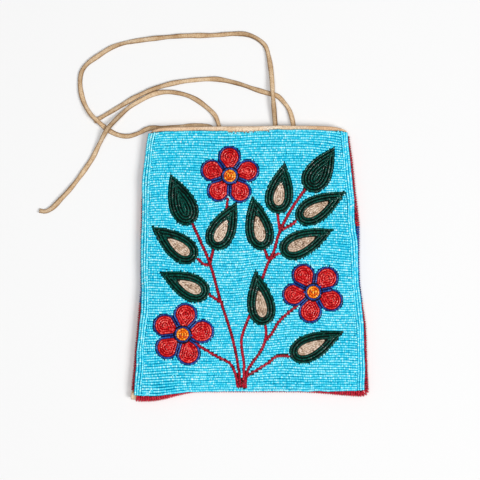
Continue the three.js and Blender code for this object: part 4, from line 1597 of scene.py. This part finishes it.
@dataclass
class EdgeBeads:
    """Beaded edge: short strings whipped over the seam from the front to the back, in blocks of colour."""

    dressing: Dressing
    pitch: float = 2.05  # from one string to the next along the seam
    corner: float = 5.0  # length of side and foot that the rounded corner takes up
    bead: float = 2.05
    # Painted light: the foot's strings get a lighter tone than the sides, standing for light that falls on
    # them.
    foot_lit_tone: float = 0.95
    side_tone: float = 0.72  # darker than the foot, whose strings are painted lighter
    # painted shade at the ends of each bead
    end_shade: float = 0.2
    top_gap: float = 4.5  # bare length of the seam below each end of the mouth
    bare_corner: tuple[float, float] = (-101.3, -112.3)  # no strings left of and below this
    left_blue: tuple[float, float] = (0.36, 0.61)
    right_blue: tuple[float, float] = (0.36, 0.66)
    show_spread: float = 0.2  # how unevenly the strings begin

    SIDE_STATIONS, FOOT_STATIONS, CORNER_STATIONS = 160, 240, 14
    # A string's section: distances out from the seam over the front, then distance and height round the edge
    OVER_FRONT = (-4.6, -3.2, -2.0, -0.8)
    ROUND_EDGE = ((0.55, 6.7), (1.3, 5.3), (1.35, 3.3), (0.6, 1.5))
    BACK_END = -1.5
    SECTION_STEP = 0.25
    HIDDEN_START = 5.0  # height below which a string starts that doesn't show from the front

    def side_run(self, sign: int) -> tuple[Array, Array]:
        """One side of the seam from the corner of the foot up.

        Args:
            sign: -1 for the left side, 1 for the right.

        Returns:
            Dense points, and the share of the side's height at each.
        """
        shape = self.dressing.shape
        inset = shape.seam_inset
        low = shape.seam_foot(sign)
        high = float(shape.rim(shape.mouth_width / 2 - inset)) - self.top_gap
        share = np.linspace(self.corner / shape.height, 1.0, self.SIDE_STATIONS)
        y = low + (high - low) * share
        return np.column_stack([sign * (shape.side(sign, y) - inset), y]), share

    def seam(self) -> tuple[Array, Array]:
        """The seam from the left end of the mouth down, along the foot and up the right side.

        Returns:
            Dense points of the seam, and the share of its side's height at each, with -1 along the foot.
        """
        shape = self.dressing.shape
        inset = shape.seam_inset
        (left, left_share), (right, right_share) = self.side_run(-1), self.side_run(1)
        reach = shape.foot_width / 2 - inset - self.corner
        x = np.linspace(-reach, reach, self.FOOT_STATIONS)
        foot = np.column_stack([x, shape.foot(x) + inset])

        def rounded(start: Array, end: Array, sign: int) -> Array:
            """The corner between a side and the foot.

            Args:
                start: Where the corner begins.
                end: Where it ends.
                sign: -1 for the left corner, 1 for the right.

            Returns:
                Points between the two.
            """
            tip_x = sign * (float(shape.side(sign, -shape.half_height)) - inset)
            tip = np.array([tip_x, float(shape.foot(tip_x)) + inset])
            t = np.linspace(0, 1, self.CORNER_STATIONS)[1:-1, None]
            return (1 - t) ** 2 * start + 2 * t * (1 - t) * tip + t**2 * end

        lower_left, lower_right = rounded(left[0], foot[0], -1), rounded(foot[-1], right[0], 1)
        points = np.vstack([left[::-1], lower_left, foot, lower_right, right])
        level = np.full(len(lower_left) + len(foot) + len(lower_right), -1.0)
        return points, np.concatenate([left_share[::-1], level, right_share])

    def node_at(self, x: float, share: float) -> tuple[str, Slot]:
        """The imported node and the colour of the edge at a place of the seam.

        Args:
            x: Distance across.
            share: Share of the side's height, below zero along the foot.

        Returns:
            The node's name and its slot.
        """
        if share < 0:
            return "edge_foot", Slot.CRIMSON
        side, (low, high) = ("left", self.left_blue) if x < 0 else ("right", self.right_blue)
        if share < low:
            return f"edge_{side}_lower", Slot.CRIMSON
        if share < high:
            return f"edge_{side}_middle", Slot.COBALT
        return f"edge_{side}_upper", Slot.CRIMSON

    def string_path(self, point: Array, outward: Array, show: float) -> Array:
        """The path of one string over the edge.

        Args:
            point: Place on the seam.
            outward: Direction out of the bag there.
            show: Width of the edge that shows from the front.

        Returns:
            Points of the path, from the front to the back.
        """
        shape = self.dressing.shape
        radius = self.bead / 2
        over = [(out, float(shape.face(*(point + outward * out))) + radius) for out in self.OVER_FRONT]
        section = smooth_path([*over, *self.ROUND_EDGE, (self.BACK_END, radius)], self.SECTION_STEP)
        out, height = section.T
        first = shape.seam_inset - show
        shown = out >= first if first < out.max() else (out > 0) & (height < self.HIDDEN_START)
        kept = section[int(np.argmax(shown)) :]
        return np.column_stack([point + outward * kept[:, :1], kept[:, 1]])

    def build(self) -> None:
        """Whips the strings over the seam, each block of colour into its own piece."""
        shape = self.dressing.shape
        dense, shares = self.seam()
        along = distances(dense)
        points, direction = spaced(dense, self.pitch)
        at = (np.arange(len(points)) + 0.5) * along[-1] / len(points)
        nearest = np.clip(np.searchsorted(along, at), 0, len(dense) - 1)
        blocks: dict[tuple[str, Slot], Beads] = {}
        jitter = random_numbers(Seed.EDGE_SHOW)
        for point, out, share in zip(points, -left_of(direction), shares[nearest]):
            if point[0] < self.bare_corner[0] and point[1] < self.bare_corner[1]:
                continue
            key = self.node_at(point[0], share)
            if key not in blocks:
                look = {"tone": self.foot_lit_tone if share < 0 else self.side_tone, "end_shade": self.end_shade}
                blocks[key] = Beads(shape, Seed.EDGE + len(blocks), diameter=self.bead, **look)
            show = run(shape.FOOT_SHOW, point[0]) if share < 0 else shape.side_show(*point)
            path = self.string_path(point, out, float(show) + jitter.normal(0.0, self.show_spread))
            blocks[key].add(*spaced(path, blocks[key].length))
        for (name, slot), beads in blocks.items():
            self.dressing.dress(beads.mesh(f"{name}_beads"), slot, name)


@dataclass
class HidePanels:
    """The two hide panels: the front with its turned-over hem, and the back that ends lower."""

    dressing: Dressing
    thickness: float = 1.3
    back_short: float = 5.0
    back_bend: float = 2.6  # length over which the back bends up to the seam
    seam_lift: float = 2.7
    stations_across: int = 120
    stations_up: int = 90
    side_crowding: float = 0.35  # how much closer together the stations are near both sides
    hem_turn: float = 4.4  # height of the hem
    hem_end: float = 0.03  # share of half the mouth over which the fold flattens towards its ends
    flat_fold: float = 0.35  # share of its rise that the fold keeps there
    hem_soil: float = 0.1  # how much more the hem's lower edge is soiled
    tip_height: float = -116.0  # of the bare tip of hide at the lower left corner
    tip_half: float = 4.0
    tip_middle: tuple[float, float] = (-107.0, -117.0)
    tip_radius: float = 6.5
    tip_unshaded: float = 0.9
    pucker: float = 0.22
    pucker_reach: float = 5.0
    pucker_length: float = 0.9
    back_ripple: float = 0.12
    back_crowding: float = 0.035
    seam_soil: float = 0.3
    seam_soil_reach: float = 3.0
    stitch_pitch: float = 3.4
    stitch_inset: float = 7.0  # bare length of hem at each end of the mouth
    stitch_spread: float = 0.25
    stitch_lean: tuple[float, float] = (0.5, 0.15)  # mean and spread
    stitch_soil: float = 0.3
    thread: float = 0.42
    thread_sides: int = 6

    # Smoke on the hem: distance across, wear.
    HEM_SMOKE = ((-88, 0.3), (-70, 0.22), (-30, 0.12), (0, 0.04), (35, 0.06), (50, 0.24), (88, 0.3))
    # Section of the fold and of what is tucked under it: share of the hem's depth, rise over the face.
    FOLD = ((0.0, 0.0), (-0.1, 0.55), (0.25, 1.05), (0.5, 1.25), (0.75, 1.2), (0.93, 0.85), (1.0, 0.1))
    TUCK = ((0.99, -0.6), (0.9, -1.1))
    BACK_WAVES = (23.0, 0.5), 31.0  # length and phase across, length up
    HANG_DIVISOR = 5  # of both corners' hang
    STITCH_ARC = ((-1.0, -0.35, 0.5), (-0.4, -0.05, 0.95), (0.3, 0.7, 1.3), (1.0, 1.5, 1.2))  # lean, up, rise

    def across(self) -> Array:
        """Shares across the panel, closer together near both sides."""
        even = np.linspace(-1, 1, self.stations_across)
        return np.sin(even * np.pi / 2) * self.side_crowding + even * (1 - self.side_crowding)

    def half_mouth(self) -> float:
        """Half of the hide's width at the mouth."""
        return self.dressing.shape.mouth_width / 2 - self.dressing.shape.seam_inset

    def closed_sheet(self, name: str, rings: Sequence[Array], worn: Sequence[Array]) -> bpy.types.Object:
        """Makes a sheet of hide from closed sections across the bag.

        Args:
            name: Name of the piece.
            rings: Points of each section, along its upper and back along its lower run.
            worn: Wear, and on the front the painted shade under the beads, at each point of each section.

        Returns:
            The piece.
        """
        loops, sizes = tube_faces(len(rings), len(rings[0]))
        piece = mesh_object(name, self.dressing.shape.to_row(np.concatenate(rings)), loops, sizes)
        set_attribute(piece, WEAR_AND_SHADE, np.concatenate(worn))
        return piece

    def build_front(self) -> bpy.types.Object:
        """Builds the front panel with its hem turned over to the outside.

        Returns:
            The piece.
        """
        shape = self.dressing.shape
        half = self.half_mouth()
        rings, worn = [], []
        for u in self.across():
            rim, edge, foot = float(shape.rim(u * half)), float(shape.hem_edge(u * half)), shape.seam_foot(u)
            y = foot + (edge - foot) * np.linspace(0, 1, self.stations_up)
            bared = np.exp(-(((y - self.tip_height) / self.tip_half) ** 4)) * (u < 0)
            x = u * (shape.side(u, y) - shape.seam_inset * (1 - bared))
            flat = np.column_stack([x, y, shape.face(x, y)])
            end_x, _, top = flat[-1]
            calm = float(smooth_step(np.array(1 - abs(u)), 0.0, self.hem_end))
            swell = self.flat_fold + (1 - self.flat_fold) * calm
            turned = [(end_x, edge + (rim - edge) * up, top + rise * swell) for up, rise in self.FOLD]
            under = [(end_x, edge + (rim - edge) * up, top + rise) for up, rise in self.TUCK]
            inner = flat[::-1] - self.thickness * UPWARD
            rings.append(np.vstack([flat, turned, under, inner]))
            fold_start, fold_end = len(flat) - 1, len(flat) + len(turned)
            rubbed_and_shaded = np.zeros(len(rings[-1]))
            rubbed_and_shaded[fold_start:fold_end] = run(self.HEM_SMOKE, u * half)
            from_tip = np.hypot(x - self.tip_middle[0], y - self.tip_middle[1])
            # Painted shade: the front's face under the beads is made near black, save the bare tip at the
            # lower left.
            rubbed_and_shaded[:fold_start] = 1 - self.tip_unshaded * (from_tip < self.tip_radius)[:-1]
            rubbed_and_shaded[fold_end - 2 : fold_end + 1] += self.hem_soil
            worn.append(rubbed_and_shaded)
        return self.dressing.dress(self.closed_sheet("front_hide", rings, worn), Slot.HIDE, "front_panel")

    def build_back(self) -> bpy.types.Object:
        """Builds the back panel, puckered along its seam.

        Returns:
            The piece.
        """
        shape = self.dressing.shape
        (long_x, phase_x), long_y = self.BACK_WAVES
        ease = np.linspace(0, 1, self.stations_up)
        rings, worn = [], []
        for u in self.across():
            rim, foot = float(shape.rim(u * self.half_mouth())) - self.back_short, shape.seam_foot(u)
            y = foot + (rim - foot) * (ease - self.back_crowding * np.sin(FULL_TURN * ease))
            x = u * (shape.side(u, y) - shape.seam_inset)
            side = (1 - abs(u)) * shape.half_width(y)
            low = y - foot
            from_seam = np.minimum(side, low)
            near = np.maximum(*(np.exp(-((away / self.back_bend) ** 2)) for away in (side, low)))
            gathers = (np.sin(y / self.pucker_length) + np.sin(x / self.pucker_length)) / 2
            pucker = self.pucker * np.exp(-from_seam / self.pucker_reach) * gathers
            ripple = self.back_ripple * (1 + np.sin(x / long_x + phase_x) * np.sin(y / long_y))
            z = np.maximum(self.seam_lift * near + pucker + ripple * (1 - near), 0.0)
            bottom = np.column_stack([x, y, z])
            rings.append(np.vstack([bottom + self.thickness * UPWARD, bottom[::-1]]))
            edge = self.seam_soil * np.exp(-from_seam / self.seam_soil_reach)
            worn.append(np.concatenate([edge, edge[::-1]]))
        return self.dressing.dress(self.closed_sheet("back_hide", rings, worn), Slot.HIDE, "back_panel")

    def build_stitches(self) -> bpy.types.Object:
        """Builds the whip stitches that hold the hem down.

        Returns:
            The piece.
        """
        shape = self.dressing.shape
        reach = shape.mouth_width / 2 - self.stitch_inset
        jitter = random_numbers(Seed.STITCHES)
        turn = ring_turns(self.thread_sides)[None, :, None]
        corners, loops, sizes = [], [], []
        for x in np.arange(-reach, reach, self.stitch_pitch):
            x = x + jitter.normal(0.0, self.stitch_spread)
            edge = float(shape.hem_edge(x))
            base = float(shape.face(x, edge))
            lean = jitter.normal(*self.stitch_lean)
            arc = [(x + share * lean, edge + up, base + rise) for share, up, rise in self.STITCH_ARC]
            path = np.array(arc)
            along = unit(np.gradient(path, axis=0))
            across = unit(np.cross(along, UPWARD))
            up = np.cross(across, along)
            spokes = np.cos(turn) * across[:, None] + np.sin(turn) * up[:, None]
            tube, faces = tube_faces(len(path), self.thread_sides)
            loops.append(tube + sum(map(len, corners)))
            sizes.append(faces)
            corners.append((path[:, None] + self.thread / 2 * spokes).reshape(-1, 3))
        faces = np.concatenate(loops), np.concatenate(sizes)
        made = mesh_object("hem_stitches", shape.to_row(np.vstack(corners)), *faces)
        set_attribute(made, WEAR_AND_SHADE, np.full(len(made.data.vertices), self.stitch_soil))
        return self.dressing.dress(made, Slot.HIDE)

    def build(self) -> None:
        """Builds both panels and the hem's stitches."""
        front, back, stitches = self.build_front(), self.build_back(), self.build_stitches()


class FarEnd(Enum):
    """How a thong ends."""

    BARE = "bare"
    OBJECT = "object"


@dataclass
class Thong:
    """A flat thong cut from hide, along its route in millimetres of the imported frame."""

    name: str
    route: Sequence[tuple[float, ...]]  # points without a height lie on the table
    length: float  # in metres
    far_end: FarEnd
    seed: int
    width: float = 4.1
    thickness: float = 2.0
    sides: int = 12
    step: float = 1.6
    lying: float = 1.6  # height of the round solid's middle on the table
    settle: float = 0.5  # how much lower the flat thong lies than its round solid
    clearance: float = 0.1  # above the table
    least_height: float = 0.05
    squareness: float = 0.55  # of its section, from 0 for square to 1 for oval
    cut_edge: tuple[float, float] = (0.62, 1.0)  # shares of half the width that the cut edge lies between
    edge_soil: float = 0.6
    soil: float = 0.18

    ROLLS = ((16, 21.0), (12, 9.0))  # degrees, and length along the thong
    SWELLS = ((0.08, 7.0), (0.06, 3.1))
    SOIL_LENGTH = 13.0

    def build(self, dressing: Dressing) -> None:
        """Builds the thong as a strip that turns a little along its way.

        Args:
            dressing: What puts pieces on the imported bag.
        """
        line = smooth_path([(*point, self.lying)[:3] for point in self.route], self.step)
        line[:, 2] = np.maximum(line[:, 2] - self.settle, self.thickness / 2 + self.clearance)
        along = distances(line)
        phase = random_numbers(self.seed).uniform(0, FULL_TURN, 4)
        rolls = [(np.radians(turn), length, start) for (turn, length), start in zip(self.ROLLS, phase)]
        roll = waves(along, *rolls)[:, None]
        swell = 1 + waves(along, *((*wave, start) for wave, start in zip(self.SWELLS, phase[2:])))
        tangent = unit(np.gradient(line, axis=0))
        side = unit(np.cross(tangent, UPWARD))
        up = np.cross(side, tangent)
        leaning = np.cos(roll) * side + np.sin(roll) * up
        rising = np.cos(roll) * up - np.sin(roll) * side
        turn = (np.arange(self.sides) + 0.5) * FULL_TURN / self.sides
        wide, thick = (
            np.sign(part) * np.abs(part) ** self.squareness * size / 2
            for part, size in ((np.cos(turn), self.width), (np.sin(turn), self.thickness))
        )
        spread = (swell[:, None] * wide[None])[..., None] * leaning[:, None]
        rings = line[:, None] + spread + thick[None, :, None] * rising[:, None]
        rings[..., 2] = np.maximum(rings[..., 2], self.least_height)
        loops, sizes = tube_faces(len(line), self.sides)
        piece = mesh_object(self.name, rings.reshape(-1, 3) * MM, loops, sizes)
        cut_edge = smooth_step(np.abs(wide) / (self.width / 2), *self.cut_edge) * self.edge_soil
        darkening = self.soil * (1 + np.sin(along / self.SOIL_LENGTH + phase[1])) / 2
        set_attribute(piece, WEAR_AND_SHADE, np.clip(cut_edge[None] + darkening[:, None], 0, 1).ravel())
        dressing.dress(piece, Slot.THONG, f"{self.name}_thong")


STRAP_ROUTE = (
    (23.0, 108.8, 3.3), (22.4, 115.8, 3.4), (22.4, 122.7, 3.8), (20.2, 150.4, 5.3), (18.9, 169.3, 4.0),
    (16.3, 185.4, 2.4), (13.6, 193.5, 1.8), (6.9, 199.6), (-2.6, 203.6), (-12.3, 204.3), (-33.4, 202.9),
    (-60.7, 202.3), (-88.0, 199.7), (-111.0, 196.0), (-122.3, 192.2), (-133.5, 185.3), (-144.8, 176.9),
    (-149.2, 170.2), (-150.5, 161.4), (-149.2, 150.0), (-146.1, 141.2, 2.4), (-140.3, 132.0, 4.6),
    (-135.5, 127.5, 5.2), (-126.7, 119.8, 1.9), (-116.7, 114.6), (-107.7, 113.5), (-98.5, 116.2),
    (-92.5, 119.3), (-86.5, 120.9), (-77.0, 120.5), (-66.0, 121.4), (-52.8, 122.7), (-41.0, 122.7),
    (-35.4, 121.4, 2.2), (-32.2, 118.4, 3.2), (-30.7, 114.6, 3.5), (-30.3, 108.8, 3.4),
)
LEFT_TIE_ROUTE = (
    (-24.4, 108.8, 3.3), (-25.4, 115.8, 3.4), (-27.4, 122.4, 3.4), (-30.8, 131.5, 2.4), (-39.0, 139.7, 1.7),
    (-49.7, 147.1), (-60.7, 151.1), (-73.9, 152.7), (-84.7, 151.1), (-96.8, 145.4), (-106.5, 139.4),
    (-113.5, 133.2, 2.8), (-120.0, 126.4, 4.8), (-125.8, 119.7, 5.6), (-133.5, 106.2, 2.8), (-139.0, 95.0),
    (-144.8, 86.0), (-153.7, 73.7), (-160.3, 65.5), (-166.7, 58.7), (-175.6, 49.6), (-181.3, 46.8),
    (-186.6, 47.5),
)
RIGHT_TIE_ROUTE = (
    (39.0, 108.8, 3.3), (38.8, 115.8, 3.4), (38.5, 122.7, 3.2), (35.2, 135.9, 2.2), (29.9, 143.8, 1.7),
    (24.4, 149.1), (17.6, 151.1), (4.1, 155.2), (-9.3, 159.8), (-28.2, 163.9), (-41.6, 163.9),
    (-60.7, 161.8), (-73.9, 159.0), (-87.5, 154.6), (-101.2, 148.2), (-114.4, 140.4), (-134.1, 128.8),
    (-138.3, 126.6),
)
THONGS = (
    Thong("strap", STRAP_ROUTE, 0.431, FarEnd.OBJECT, Seed.THONG),
    Thong("left_tie", LEFT_TIE_ROUTE, 0.236, FarEnd.BARE, Seed.THONG + 1),
    Thong("right_tie", RIGHT_TIE_ROUTE, 0.218, FarEnd.BARE, Seed.THONG + 2),
)


@dataclass
class Studio:
    """Table, light and camera, in metres."""

    floor_size: float = 6.0
    world_strength: float = 0.2
    key_watts: float = 318.0
    key_place: tuple[float, float, float] = (4.24, -1.98, 5.2)
    key_size: float = 3.0
    top_watts: float = 32.0
    top_place: tuple[float, float, float] = (-0.15, 0.0, 2.6)
    top_size: float = 1.6
    camera_aim: tuple[float, float] = (-0.0088, 0.0215)
    camera_distance: float = 1.3
    view_width: float = 0.4224  # width of what the picture shows at the bead face
    sensor_mm: float = 36.0

    WHITE = (1.0, 1.0, 1.0, 1.0)

    def build_floor(self) -> None:
        """Lays the table that the bag rests on."""
        half = self.floor_size / 2
        corners = np.array([(-half, -half, 0), (half, -half, 0), (half, half, 0), (-half, half, 0)], float)
        floor = mesh_object("table", corners, np.arange(4), np.array([4]))
        floor.data.materials.append(PlainPaper().material())

    def build_light(self) -> None:
        """Sets a dim white surround, a soft lamp on the right and one above that the glass won't mirror."""
        world = bpy.data.worlds.new("studio")
        world.use_nodes = True
        world.node_tree.nodes.clear()
        sky = {"Color": self.WHITE, "Strength": self.world_strength}
        background = add_node(world.node_tree, "Background", sky)
        add_node(world.node_tree, "OutputWorld", {"Surface": background.outputs["Background"]})
        bpy.context.scene.world = world
        self.build_lamp("key", self.key_watts, self.key_size, self.key_place)
        self.build_lamp("top", self.top_watts, self.top_size, self.top_place).visible_glossy = False

    def build_lamp(
        self, name: str, watts: float, size: float, place: tuple[float, float, float]
    ) -> bpy.types.Object:
        """Hangs one square lamp that faces the bag.

        Args:
            name: Name of the lamp.
            watts: Its power.
            size: Length of its sides.
            place: Where it hangs.

        Returns:
            The lamp's object.
        """
        lamp = bpy.data.lights.new(name, "AREA")
        lamp.energy = watts
        lamp.size = size
        hung = bpy.data.objects.new(name, lamp)
        hung.location = place
        hung.rotation_euler = Vector(place).to_track_quat("Z", "Y").to_euler()
        bpy.context.scene.collection.objects.link(hung)
        return hung

    def build_camera(self) -> None:
        """Sets the camera straight above the bag."""
        lens = bpy.data.cameras.new("camera")
        lens.sensor_width = self.sensor_mm
        lens.lens = self.sensor_mm * self.camera_distance / self.view_width
        camera = bpy.data.objects.new("camera", lens)
        camera.location = (*self.camera_aim, self.camera_distance + CAD_BOX[1].z)
        bpy.context.scene.collection.objects.link(camera)
        bpy.context.scene.camera = camera
        bpy.context.scene.view_settings.view_transform = "Standard"

    def build(self) -> None:
        """Builds the table, the light and the camera."""
        self.build_camera()
        self.build_floor()
        self.build_light()


def main() -> None:
    """Builds the bag piece by piece."""
    logging.basicConfig(level=logging.INFO, format="%(name)s: %(message)s")
    dressing = Dressing()
    Studio().build()
    for thong in THONGS:
        thong.build(dressing)
    HidePanels(dressing).build()
    ground = GroundBeads(dressing)
    ground.build_ground()
    ground.build_borders()
    LeafBeads(dressing).build()
    FlowerBeads(dressing).build()
    StemBeads(dressing).build()
    ground.build_fill()
    EdgeBeads(dressing).build()


if __name__ == "__main__":
    main()
